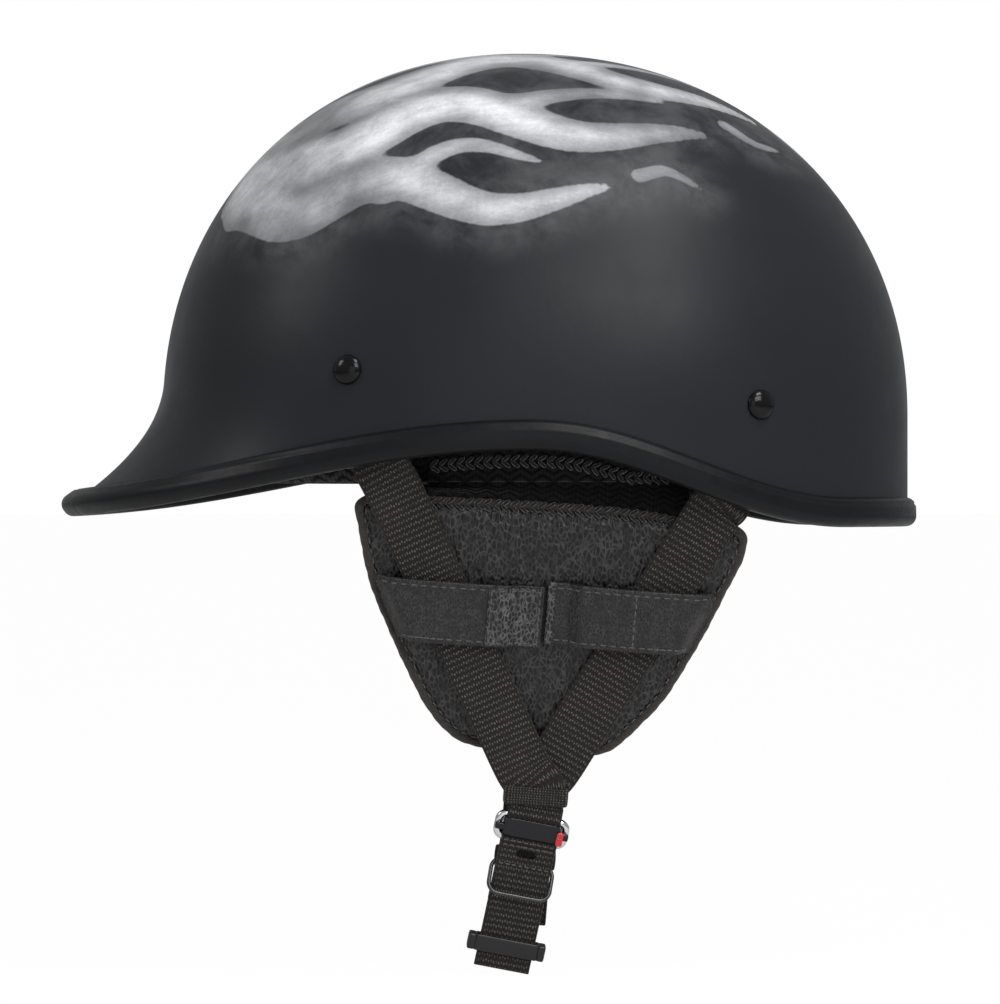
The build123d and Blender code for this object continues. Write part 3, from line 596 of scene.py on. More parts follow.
def webbing():
    """Rows of short raised threads, every other column offset, dusty and worn smooth at the edges."""
    c, s = colours(), sizes()
    f = Finish("webbing", c.webbing, 0.78)
    run, width = f.lay()
    column = f.math("DIVIDE", width, s.weave_pitch * 0.42)
    row = f.math("DIVIDE", run, s.weave_pitch)
    other = f.times(f.math("FLOORED_MODULO", f.math("FLOOR", column), 2.0), 0.16)
    float_up, thread_round = f.wave(f.plus(row, other)), f.wave(column)
    knot = f.times(f.math("POWER", float_up, 1.8), f.math("POWER", thread_round, 0.8))
    uneven = f.ramp(f.noise(700, 3, 0.6), 0.3, 0.75, 0.25, 1.0)
    dots = f.times(f.ramp(knot, 0.42, 0.98), uneven)
    edge = f.ramp(f.math("ABSOLUTE", width), s.webbing_width * 0.44, s.webbing_width * 0.455)
    dots = f.times(dots, f.math("SUBTRACT", 1.0, f.times(edge, 0.7)))
    dust = f.mix(f.ramp(f.noise(60, 4, 0.6), 0.45, 0.8, 0.0, 0.35), c.webbing, darker(c.webbing, 2.2))
    fuzz = f.bump(f.noise(2600, 2), 0.00006)
    weave = f.bump(knot, 0.00032, under=fuzz)
    return f.finish(Base_Color=f.mix(dots, dust, c.webbing_dot), Sheen_Weight=0.08, Sheen_Roughness=0.5,
                    Specular_IOR_Level=0.15, Normal=weave)


def leather(name, colour, grain, roughness, wrinkle, relief):
    """Leather: tall pebbles whose ridges carry painted highlights and whose grooves carry painted shade, over
    soft upright wrinkles.
    """
    f = Finish(name, colour, roughness)
    tall = f.stretch((1.0, 1.0, 0.16))
    bent = f.stretch((1.0, 1.0, 0.52), (0.0, 0.22, 0.0))
    streaks = f.noise(420, 3, 0.6, tall, 0.4)
    folds = f.noise(120, 3, 0.5, tall, 0.8)
    pebbles = f.ramp(f.cells(grain, "DISTANCE_TO_EDGE", bent), 0.0, 0.32)
    soften = f.ramp(f.noise(90, 3, 0.6), 0.3, 0.7, 0.35, 1.0)
    pebbles = f.times(pebbles, soften)
    pits = f.noise(grain * 2.2, 2)
    low = f.bump(f.plus(folds, f.times(streaks, 0.5)), wrinkle)
    mid = f.bump(pebbles, relief, under=low)
    fine = f.bump(pits, 0.00004, under=mid)
    shade = f.mix(f.ramp(f.noise(50, 4, 0.6), 0.3, 0.75), darker(colour, 0.7), darker(colour, 1.5))
    # The grooves between the pebbles are painted darker: painted shade.
    shade = f.mix(f.times(pebbles, 0.6), darker(colour, 0.4), shade)
    # Bright lines painted along the pebbles' ridges, in patches: a painted highlight.
    ridge = f.ramp(f.cells(grain * 1.3, "DISTANCE_TO_EDGE", bent), 0.20, 0.02)
    patchy = f.ramp(f.noise(300, 4, 0.65, twist=0.5), 0.30, 0.66, 0.12, 1.0)
    shown = f.times(f.times(ridge, patchy), relief * 2600, True)
    shade = f.mix(shown, shade, darker(colour, 6.0))
    gloss = f.ramp(f.noise(300, 4, 0.65), 0.25, 0.8, roughness - 0.08, roughness + 0.12)
    return f.finish(Base_Color=shade, Roughness=gloss, Specular_IOR_Level=0.24, Normal=fine)


def felt():
    """Long fibres and loose tufts."""
    c = colours()
    f = Finish("binding_cloth", c.binding, 0.95)
    fibres = f.noise(1900, 4, 0.7, twist=1.2)
    tufts = f.noise(420, 4, 0.65)
    shade = f.mix(f.ramp(fibres, 0.3, 0.72), darker(c.binding, 0.45), darker(c.binding, 1.6))
    shade = f.mix(f.ramp(tufts, 0.45, 0.75, 0.0, 0.5), shade, darker(c.binding, 0.35))
    nap = f.bump(f.plus(fibres, tufts), 0.00035)
    return f.finish(Base_Color=shade, Sheen_Weight=0.15, Sheen_Roughness=0.6, Specular_IOR_Level=0.08,
                    Normal=nap)


def air_mesh(name, colour, pitch):
    """Chevrons of raised yarn on the piece's own map, the small holes and gaps between them painted nearly
    black as painted shade.
    """
    f = Finish(name, colour, 0.85)
    run, width = f.lay()
    slant = f.times(f.math("PINGPONG", f.math("DIVIDE", run, pitch * 1.5), 1.0), 0.9)
    row = f.plus(f.math("DIVIDE", width, pitch), slant)
    rib = f.wave(row)
    bead = f.math("ABSOLUTE", f.math("SINE", f.math("DIVIDE", run, pitch / (2 * np.pi))))
    yarn = f.times(rib, f.plus(f.times(bead, 0.45), 0.55))
    soft = f.ramp(yarn, 0.25, 0.85)
    yarns = f.mix(f.noise(500, 3), darker(colour, 0.8), darker(colour, 1.6))
    # Between the yarns the colour drops to a tenth: painted shade in the holes.
    shade = f.mix(soft, darker(colour, 0.10), yarns)
    weave = f.bump(yarn, 0.0005)
    return f.finish(Base_Color=shade, Sheen_Weight=0.08, Sheen_Roughness=0.5, Specular_IOR_Level=0.10,
                    Normal=weave)


def knit(name, colour):
    """Close rows of small upright loops."""
    f = Finish(name, colour, 0.9)
    rows = f.cells(1300, source=f.stretch((1, 1, 0.55)))
    shade = f.mix(f.ramp(rows, 0.1, 0.6), darker(colour, 1.3), darker(colour, 0.35))
    shade = f.mix(f.ramp(f.noise(60, 4), 0.4, 0.8, 0, 0.4), shade, darker(colour, 0.5))
    return f.finish(Base_Color=shade, Sheen_Weight=0.4, Sheen_Roughness=0.5, Specular_IOR_Level=0.2,
                    Normal=f.bump(rows, 0.00022))


def bead_foam():
    """Beads in slightly different greys, dark where they meet."""
    c = colours()
    f = Finish("foam", c.foam, 0.75)
    bead = f.cells(300, "DISTANCE_TO_EDGE")
    tone = f.node("TexVoronoi", None, Vector=f.places, Scale=300).outputs["Color"]
    tone = f.node("SeparateColor", None, Color=tone).outputs[0]
    shade = f.mix(tone, darker(c.foam, 0.75), darker(c.foam, 1.3))
    shade = f.mix(f.ramp(bead, 0.0, 0.12), darker(c.foam, 0.4), shade)
    return f.finish(Base_Color=shade, Specular_IOR_Level=0.35, Normal=f.bump(f.ramp(bead, 0, 0.3), 0.0003))


def hook_tape():
    """Rows of small stiff hooks."""
    f = Finish("hook_tape", (0.02, 0.02, 0.021), 0.7)
    hooks = f.cells(1500)
    height = f.node("SeparateXYZ", None, Vector=f.places).outputs[2]
    rows = f.math("ABSOLUTE", f.math("SINE", f.times(height, 3600)))
    tall = f.times(f.ramp(hooks, 0.55, 0.1), rows)
    shade = f.mix(tall, (0.008, 0.008, 0.008), (0.06, 0.06, 0.062))
    return f.finish(Base_Color=shade, Specular_IOR_Level=0.4, Normal=f.bump(tall, 0.0005))


def metal(name, colour, roughness, scratches):
    """Metal with hair scratches and smears."""
    f = Finish(name, colour, roughness, 1.0)
    hair = f.noise(1400, 3, 0.6, f.stretch((1.0, 0.08, 0.4), (0.3, 0.2, 0.8)))
    smear = f.ramp(f.noise(160, 4, 0.6), 0.3, 0.75, roughness * 0.7, roughness * 1.6)
    tint = f.mix(f.ramp(f.noise(220, 3), 0.35, 0.75), darker(colour, 0.86), colour)
    return f.finish(Base_Color=tint, Roughness=smear, Normal=f.bump(hair, scratches))


def enamel(name, colour, roughness, coat, gloss):
    """Smooth paint or plastic with faint marks."""
    f = Finish(name, colour, roughness)
    shade = f.mix(f.noise(300, 3), darker(colour, 0.8), darker(colour, 1.25))
    marks = f.ramp(f.noise(600, 4, 0.7), 0.35, 0.8, roughness, roughness + 0.12)
    return f.finish(Base_Color=shade, Roughness=marks, Specular_IOR_Level=gloss, Coat_Weight=coat,
                    Coat_Roughness=0.08, Normal=f.bump(f.noise(500, 2), 0.00003))


def yarn():
    """Twisted thread."""
    c = colours()
    f = Finish("thread", c.thread, 0.7)
    twist = f.noise(5200, 2, 0.6, f.stretch((1, 1, 0.5), (0, 0.6, 0)))
    return f.finish(Base_Color=f.mix(f.ramp(twist, 0.35, 0.65), darker(c.thread, 0.4), darker(c.thread, 1.5)),
                    Sheen_Weight=0.2, Normal=f.bump(twist, 0.0001))


class HELMET_OT_finishes(bpy.types.Operator):
    """Makes the finishes and gives them to the solid model's own pieces"""
    bl_idname = "helmet.finishes"
    bl_label = "Finishes"

    def execute(self, context):
        c = colours()
        shell_paint()
        webbing()
        felt()
        bead_foam()
        hook_tape()
        yarn()
        rubber("trim_rubber", c.rubber, 0.38)
        rubber("strap_rubber", darker(c.rubber, 1.2), 0.5)
        leather("flap_leather", c.leather, 520, 0.36, 0.0006, 0.00030)
        # The tabs and their end pieces take the flap's leather made 1.8 and 2.4 times lighter: a painted sheen.
        leather("tab_leather", darker(c.leather, 1.8), 900, 0.38, 0.0003, 0.00012)
        leather("patch_leather_sheen", darker(c.leather, 2.4), 600, 0.36, 0.0002, 0.00030)
        air_mesh("air_mesh", c.mesh_cloth, 0.0026)
        air_mesh("pad_mesh", darker(c.mesh_cloth, 3.5), 0.0034)
        knit("flap_lining", c.lining)
        knit("binding_knit", darker(c.binding, 0.26))
        metal("bright_steel", c.steel, 0.16, 0.00002)
        metal("plain_steel", darker(c.steel, 0.7), 0.32, 0.00004)
        enamel("rivet_enamel", (0.0035, 0.0035, 0.004), 0.11, 0.0, 0.16)
        enamel("black_wire", (0.010, 0.010, 0.011), 0.26, 0.0, 0.5)
        enamel("black_plastic", (0.009, 0.009, 0.010), 0.34, 0.0, 0.30)
        enamel("guard_plate", (0.006, 0.006, 0.0075), 0.24, 0.0, 0.25)
        enamel("release_red", c.release_red, 0.34, 0.2, 0.4)
        for node, finish in (("impact_liner", "foam"), ("headband_hook_patches", "hook_tape"),
                             ("crown_hook_patch", "hook_tape"), ("rivet_washers", "plain_steel"),
                             ("tab_hook_patch_left", "hook_tape"), ("tab_hook_patch_right", "hook_tape"),
                             ("buckle_ring", "bright_steel"), ("strap_keeper_ring", "black_wire")):
            nodes[node].data.materials.clear()
            nodes[node].data.materials.append(finishes[finish])
        return {"FINISHED"}


# The blaze: licks of flame that sweep back over the crown. Each is a centre line, as places along in metres
# with their lean from upright in degrees, and a half width at its root.

blaze_licks = [
    ([(-0.094, 0), (-0.048, 5), (0.010, -1), (0.072, 3)], 0.0150),
    ([(-0.102, 13), (-0.060, 21), (-0.014, 14), (0.034, 22), (0.080, 15)], 0.0165),
    ([(-0.107, 23), (-0.076, 35), (-0.034, 30), (0.012, 39), (0.060, 32)], 0.0155),
    ([(-0.107, 31), (-0.088, 46), (-0.056, 45), (-0.018, 54), (0.024, 49)], 0.0125),
    ([(-0.040, 7), (-0.010, 10), (0.022, 7)], 0.0052),
    ([(0.002, 17), (0.034, 12), (0.062, 8)], 0.0048),
    ([(-0.020, 33), (0.014, 28), (0.044, 26)], 0.0056),
    ([(-0.056, 48), (-0.030, 41), (0.000, 45)], 0.0050),
    ([(0.082, 9), (0.092, 11), (0.103, 8)], 0.0030),
    ([(0.066, 26), (0.077, 27), (0.087, 23)], 0.0030),
    ([(0.034, 46), (0.044, 44), (0.056, 46)], 0.0028),
]
blaze_root = [(-0.100, 0), (-0.105, 12), (-0.107, 22), (-0.106, 31)]
lick_points = 56
root_half, tip_half, tip_power = 0.0095, 0.0006, 0.52
blaze_far, blaze_low, lick_blend = 0.05, 0.055, 0.004


def crown_point(x, lean):
    """Where the dome's surface is met from its core, leaning from upright: found by halving."""
    s = sizes()
    near, far = np.zeros_like(x), np.full_like(x, 0.2)
    reach = np.where(x > -crown_set_forward, s.rear_reach, s.front_reach)
    for _ in range(40):
        middle = (near + far) / 2
        y, z = middle * np.sin(lean), dome_base_height + middle * np.cos(lean)
        outside = ((abs(x + crown_set_forward) / reach) ** plan_power + (y / s.half_width) ** plan_power
                   > dome_shrink(z, dome_rise) ** plan_power)
        near, far = np.where(outside, near, middle), np.where(outside, middle, far)
    return np.stack([x, near * np.sin(lean), dome_base_height + near * np.cos(lean)], -1)


def lick_line(marks):
    """Points on the dome along a lick, evenly spaced in a plan where 10 radians of lean count as 1 metre."""
    line = smooth_line([(x, np.radians(a) * 0.1) for x, a in marks], lick_points)
    return crown_point(line[:, 0], line[:, 1] * 10)


def blaze_reach(points):
    """Distance from each point to the nearest lick's edge, below zero inside. A lick's half width falls
    from its root to its tip by the power 0.52 of what is left of it."""
    points = points * np.array([1, 0, 1]) + abs(points[..., 1:2]) * np.array([0, 1, 0])
    shape, points = points.shape[:-1], points.reshape(-1, 3)
    least = np.full(len(points), blaze_far)
    near = np.flatnonzero(points[:, 2] > blaze_low)
    fall = (1 - np.linspace(0, 1, lick_points)) ** tip_power
    lines = [(lick_line(marks), half * fall + tip_half) for marks, half in blaze_licks]
    lines.append((lick_line(blaze_root), np.full(lick_points, root_half)))
    for line, half in lines:
        for part in np.array_split(near, 8):
            gap = (np.linalg.norm(points[part, None] - line[None], axis=-1) - half).min(1)
            blend = np.clip(0.5 + 0.5 * (least[part] - gap) / lick_blend, 0, 1)
            least[part] = least[part] + (gap - least[part]) * blend - lick_blend * blend * (1 - blend)
    return least.reshape(shape)


class HELMET_OT_shell(bpy.types.Operator):
    """Shell with its flared peak and the sprayed blaze, and the rubber trim on its rim"""
    bl_idname = "helmet.shell"
    bl_label = "Shell and trim"

    def execute(self, context):
        s = sizes()
        turn = np.linspace(0, 2 * np.pi, 480, endpoint=False)[None, :]

        def rows(inset, skirt, dome, flared=True):
            low = rim_line(turn[0], inset)[:, 2]
            height = low + (dome_base_height - low) * np.linspace(0, 1, skirt)[:, None]
            top = dome_base_height + (dome_rise - inset) * np.sin(np.linspace(0, np.pi / 2, dome))[1:, None]
            height = np.concatenate([height, np.broadcast_to(top, (dome - 1, len(low)))])
            return wall(turn, height, inset, flared)

        outer, inner = rows(0.0, 26, 104), rows(s.shell_wall, 16, 36)
        reach = np.concatenate([np.full(inner.shape[:2], blaze_far), blaze_reach(outer)])
        shell = grid(np.concatenate([inner[::-1], outer]), pinch=False)
        piece("painted_shell", [shell], "shell_paint", "helmet", ["outer_shell"], "shell_paint", 50,
              {"blaze": reach})

        turn = np.linspace(0, 2 * np.pi, 400, endpoint=False)
        past_wall = 0.00175
        inset = s.shell_wall + past_wall - s.trim_width / 2
        middle = rim_line(turn, inset)
        ahead = unit(np.roll(middle, -1, 0) - np.roll(middle, 1, 0))
        up = wall(turn, middle[:, 2] + s.trim_height / 2, inset) - middle
        out = unit(np.cross(ahead, up))
        up = np.cross(out, ahead)
        outline = rounded_outline(s.trim_width, s.trim_height, s.trim_width * 0.46, 2, 14, 9)
        across, tall = outline[:, 0], outline[:, 1]
        groove_depth, groove_width = 0.00042, 0.00035
        groove = groove_depth * np.exp(-((tall - s.trim_height * 0.27) / groove_width) ** 2) * (across > 0)
        across = across * (1 - 0.05 * (tall / s.trim_height)) - groove
        points = middle[:, None] + out[:, None] * across[None, :, None] + up[:, None] * tall[None, :, None]
        piece("rim_trim", [grid(points, line_run(middle, True), tall, loop_rows=True)],
              "trim_rubber", "helmet", ["edge_trim"], "trim_rubber")
        return {"FINISHED"}


class HELMET_OT_rivets(bpy.types.Operator):
    """Four domed rivets, each turned from one profile: head, shank and spread tail"""
    bl_idname = "helmet.rivets"
    bl_label = "Rivets"

    def execute(self, context):
        s = sizes()
        a = np.linspace(np.pi / 2, 0.12, 16)
        dome = np.stack([np.cos(a) * s.rivet_radius / np.cos(a[-1]), 0.0001 + np.sin(a) * s.rivet_height], -1)
        dome[0, 0] = 0
        edge = np.array([(s.rivet_radius, 0.00022), (s.rivet_radius * 0.985, 0.0001), (0.0021, 0.00008)])
        shank, tail, stack = 0.002, 0.0032, 0.00765
        shank = np.array([(shank, -0.0002), (shank, -stack), (tail - 0.0001, -stack - 0.0002),
                          (tail, -stack - 0.0006), (tail - 0.0004, -stack - 0.0011), (0.0, -stack - 0.0012)])
        profile = np.concatenate([dome, edge, shank])
        turn = np.linspace(0, 2 * np.pi, 48, endpoint=False)
        grids = []
        for x, z in (front_rivet, rear_rivet):
            facing = wall_facing(x, z)
            aside = unit(np.cross(facing, [0, 0, 1.0]))
            over = np.cross(aside, facing)
            spot = left_wall(x, z)
            ring = (np.cos(turn)[:, None] * aside + np.sin(turn)[:, None] * over)[None]
            points = spot + profile[:, None, :1] * ring + profile[:, None, 1:] * facing
            grids += [grid(points * signs, pinch=False) for _, signs in sides]
        piece("rivet_heads", grids, "rivet_enamel", "helmet", ["strap_rivets"], "rivet_enamel", 40)
        return {"FINISHED"}


def cloth_strip(middle, out, thickness, rows_run):
    """A strip of cloth: its middle surface, half the thickness to each side, with round edges."""
    count = middle.shape[1]
    half = thickness / 2 * np.sqrt(np.clip(1 - np.linspace(-1, 1, count) ** 8, 0, 1))[None, :, None]
    loop = np.concatenate([middle + out * half, (middle - out * half)[:, ::-1]], 1)
    drop = line_run(middle[len(middle) // 2])
    return grid(loop, rows_run, np.concatenate([drop, drop[::-1]]))


def headband_grid():
    """The headband: a cross-section of signed powers of cosine and sine, carried round the foam's wall,
    pinched at the seams between its panels and drawn in along its middle."""
    s = sizes()
    turn = np.linspace(0, 2 * np.pi, 420, endpoint=False)[:, None]
    a = np.linspace(0, 2 * np.pi, 44, endpoint=False)[None, :]
    depth = np.sign(np.cos(a)) * abs(np.cos(a)) ** 0.7
    tall = np.sign(np.sin(a)) * abs(np.sin(a)) ** 0.45
    panels, seam_width, middle_run = 14, 0.022, 0.09
    seams = np.abs((turn / (2 * np.pi) * panels) % 1 - 0.5) * 2 * np.pi / panels
    pinch = 1 - 0.5 * np.exp(-((np.pi / panels - seams) / seam_width) ** 2) * (depth > 0)
    ridge = 1 - 0.10 * np.exp(-((tall - 0.1) / 0.16) ** 2) * (depth > 0)
    inset = pad_layer + s.headband_thickness * (0.5 + 0.5 * depth * np.where(depth > 0, pinch * ridge, 1))
    height = (headband_bottom + headband_top) / 2 + (headband_top - headband_bottom) / 2 * tall
    points = wall(turn, height, inset, False, inset + crown_foam_inner - foam_inner)
    return grid(points, np.append(turn[:, 0], 2 * np.pi) * middle_run, height[0], True)


def crown_pad_grid():
    """The crown pad: an oval whose faces part by (1 - share^5)^0.5 of its thickness, share being how far out
    a point is, sewn down along three lines and laid on the foam's dome."""
    s = sizes()
    outward, inward = 30, 60
    turn = np.linspace(0, 2 * np.pi, 160, endpoint=False)[None, :]
    share = np.concatenate([np.linspace(0, 1, outward), np.linspace(1, 0, inward)[1:]])[:, None]
    inner_side = (np.arange(len(share)) >= outward)[:, None]
    x = -crown_set_forward + share * s.crown_pad_length / 2 * np.cos(turn)
    y = share * s.crown_pad_width / 2 * np.sin(turn)
    swell = np.sqrt(np.clip(1 - share ** 5, 0, 1))
    seam_apart, seam_width = 0.026, 0.0022
    sewn = sum(np.exp(-((x + crown_set_forward - d * seam_apart) / seam_width) ** 2) for d in (-1, 0, 1))
    quilted = swell * (1 - 0.42 * sewn * (share < 0.93))
    depth = 0.5 + 0.5 * np.where(inner_side, quilted, -swell)
    inset = pad_layer + s.crown_pad_thickness * depth
    level = dome_height(x, y, inset, inset + crown_foam_inner - foam_inner)
    return grid(np.stack([x, y, level], -1), share[:, 0] * 0.045, turn[0] * 0.04, pinch=False)


def liner_cloth_grid():
    """The left cloth that closes the foam's edge, from the headband's foot up to the rim trim."""
    s = sizes()
    x = np.linspace(-0.045, 0.060, 120)[:, None]
    top = rim_height(x) + s.trim_height / 2 + 0.00005
    height = headband_bottom + (top - headband_bottom) * np.linspace(0, 1, 30)[None, :]
    x = np.broadcast_to(x, height.shape)
    middle = np.stack([x, -wall_out(x, height, foam_inner - cloth_gap), height], -1)
    return cloth_strip(middle, straight_left, s.cloth_thickness, x[:, 0])


def hanger_grid():
    """The left cloth that hangs the flap: lines down inside the foam's wall, smoothed over to the flap's top
    and waved a little by the product of two sines."""
    x = np.linspace(-0.040, 0.052, 110)[:, None]
    height = np.linspace(0.0337, 0.0060, 26)[None, :]
    xs, height = np.broadcast_arrays(x, height)
    upper = np.stack([xs, -wall_out(xs, height, foam_inner + cloth_gap), height], -1)
    lower = [side_points(x[:, 0] - side_middle[0], up, out) for up, out in
             ((-0.0012, -0.0052), (-0.0034, -0.0054), (-0.0056, -0.0056))]
    middle = np.concatenate([upper, np.stack(lower, 1)], 1)
    middle = np.stack([even_line(smooth_line(line, 90), 44) for line in middle])
    waves = 0.0003 * np.sin(middle[..., :1] * 420) * np.sin(middle[..., 2:] * 260 + 1)
    return cloth_strip(middle + straight_left * waves, straight_left, sizes().cloth_thickness, x[:, 0])


class HELMET_OT_padding(bpy.types.Operator):
    """Headband, crown pad, and the mesh cloth that closes the liner and hangs the ear flaps"""
    bl_idname = "helmet.padding"
    bl_label = "Padding"

    def execute(self, context):
        for name, part, node in (("headband_cushion", headband_grid(), "headband_pad"),
                                 ("crown_cushion", crown_pad_grid(), "crown_pad")):
            piece(name, [part], "pad_mesh", "helmet", [node], "air_mesh")
        pair("liner_cloth_*", liner_cloth_grid(), "air_mesh", "helmet", ["liner_edge_*"], "air_mesh")

        x = np.linspace(-0.038, 0.043, 200)
        height = np.clip(rim_height(x) - 0.0088, 0.0096, None)
        out = wall_out(x, height, foam_inner - cloth_gap) + sizes().cloth_thickness / 2
        edge = np.stack([x, -out, height], -1)
        for side, signs in sides:
            braid("liner_braid_" + side, edge * signs, straight_left * signs, "helmet")

        start, end = side_points(0, 0.004, 0), side_points(0, -0.0015, 0)
        hangers = pair("flap_cloth_*", hanger_grid(), "air_mesh", None, ["flap_hanger_*"], "air_mesh")
        for cloth, (side, signs) in zip(hangers, sides):
            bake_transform(cloth)
        return {"FINISHED"}


def strap_stations(rivet, start, meet_along, end_out):
    """Middle points and width directions of one chin strap, from its riveted tail to the sleeve."""
    s = sizes()
    x, height = rivet
    low = side_points(start, 0.0, 0.0)
    inner, past_trim, tail = s.shell_wall + 0.00165, s.shell_wall + 0.0034, 0.009
    rim = float(rim_height(low[0]))
    slope = (x - low[0]) / (height - low[2])
    middle = low[0] + slope * (rim + s.trim_height - low[2])
    places = [(x + slope * tail, height + tail, inner), (x, height, inner),
              (x - slope * tail, height - tail, inner), (middle, rim + s.trim_height, past_trim),
              ((middle + low[0]) / 2, rim - s.trim_height / 2, past_trim)]
    centres = [left_wall(*p) for p in places]
    run = centres[0] - low
    across = [unit(np.cross(wall_facing(a, b), run)) for a, b, _ in places]
    ahead = unit(np.array([start - meet_along, strap_drop, 0.0]))
    tilt = np.array([ahead[1], -ahead[0], 0.0]) @ side_axes
    turn = np.array([meet_along, -strap_drop, end_out]) + ahead * strap_drop * 0.05
    first = np.array([start, 0.0, 0.0])
    slant = [first + (turn - first) * share for share in (0.0, 0.2, 0.4, 0.6, 0.8, 1.0)]
    upright = [(ring_along, -sleeve_drop, end_out), (ring_along, -tail_drop, end_out)]
    centres += [side_points(*p) for p in (*slant, *upright)]
    sign = np.sign(across[-1] @ tilt)
    across += [sign * tilt] * len(slant) + [sign * side_axes[0]] * len(upright)
    return np.concatenate([np.array(centres), np.array(across)], 1)


class HELMET_OT_straps(bpy.types.Operator):
    """Chin straps of ribbed webbing, each one strip from its rivet to the sleeve, and the sleeves"""
    bl_idname = "helmet.straps"
    bl_label = "Straps"

    def execute(self, context):
        s = sizes()
        ends = (("front", front_rivet, strap_front_start, ring_along - meet_half, over_lift),
                ("rear", rear_rivet, strap_rear_start, ring_along + meet_half, 0.0))
        for name, rivet, start, meet, end_out in ends:
            line = smooth_line(strap_stations(rivet, start, meet, end_out), 190)
            strip = band(line[:, :3], line[:, 3:], s.webbing_width, s.webbing_thickness)
            top, low = side_points(start, 0.005, 0), side_points(start, -0.004, 0)
            straps = pair(f"webbing_{name}_*", strip, "webbing", None,
                          [f"strap_root_{name}_*", f"strap_{name}_*"], "webbing")
            for strap, (side, signs) in zip(straps, sides):
                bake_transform(strap)

        def place(a, b, c):
            return side_points(ring_along + a, c - sleeve_drop - sleeve_height / 2, chain_out + b)

        points, run, width, loop = collar(place, 0.0208, s.webbing_thickness + over_lift + 0.0006, 0.001,
                                          sleeve_height, 0.0001)
        closer_weave = 2.2
        pair("sleeve_*", (points, run * closer_weave, width, loop), "webbing", "*_side", ["strap_sleeve_*"],
             "webbing")
        return {"FINISHED"}


def flap_line(count=260):
    """The flap's outline, a smooth closed line through its shares."""
    marks = np.stack([flap_shares[:, 0] * flap_width - flap_front, -flap_shares[:, 1] * flap_height], -1)
    return smooth_line(marks, count, closed=True)


def drawn_in(outline, inset, share=1.0):
    """The outline drawn in about the flap's middle, by an inset and then to a share."""
    across = outline[..., 0] * (1 - 2 * inset / flap_width) * share
    up = (outline[..., 1] + flap_height / 2) * (1 - 2 * inset / flap_height) * share - flap_height / 2
    return across, up


def cushion(seam, top, power, marks):
    """A padded panel: the outline at shares from its middle to its edge and back under, with its height
    (1 - share^power)^0.5, less its creases, each given by its place along, its width and its depth."""
    outline = flap_line()
    share = np.concatenate([np.linspace(0, 0.9, 52), 0.9 + 0.1 * np.sin(np.linspace(0, np.pi / 2, 16))[1:]])
    under = np.linspace(1, 0, 18)[1:]
    across, up = drawn_in(outline[None], 0.0026, np.concatenate([share, under])[:, None])
    rise = np.sqrt(np.clip(1 - share ** power, 0, 1))[:, None]
    thick = top - seam
    x, y = across[:len(share)], up[:len(share)]
    window = smooth_step(-y, 0.006, 0.026) * (1 - smooth_step(-y, 0.070, 0.088))
    for middle, width, depth in marks:
        line = middle + 0.0018 * np.sin(y * 95)
        rise = rise * (1 - depth * window * np.exp(-((x - line) / width) ** 2))
    ripple = (np.sin(x * 610 + 3 * np.sin(y * 70)) * 0.5 + np.sin(x * 1130 + y * 60)) * 0.012
    rise = np.clip(rise * (1 + ripple), 0, 1)
    height = np.concatenate([seam + thick * rise, np.full((len(under), outline.shape[0]), seam)])
    return grid(side_points(across, up, height), pinch=False)


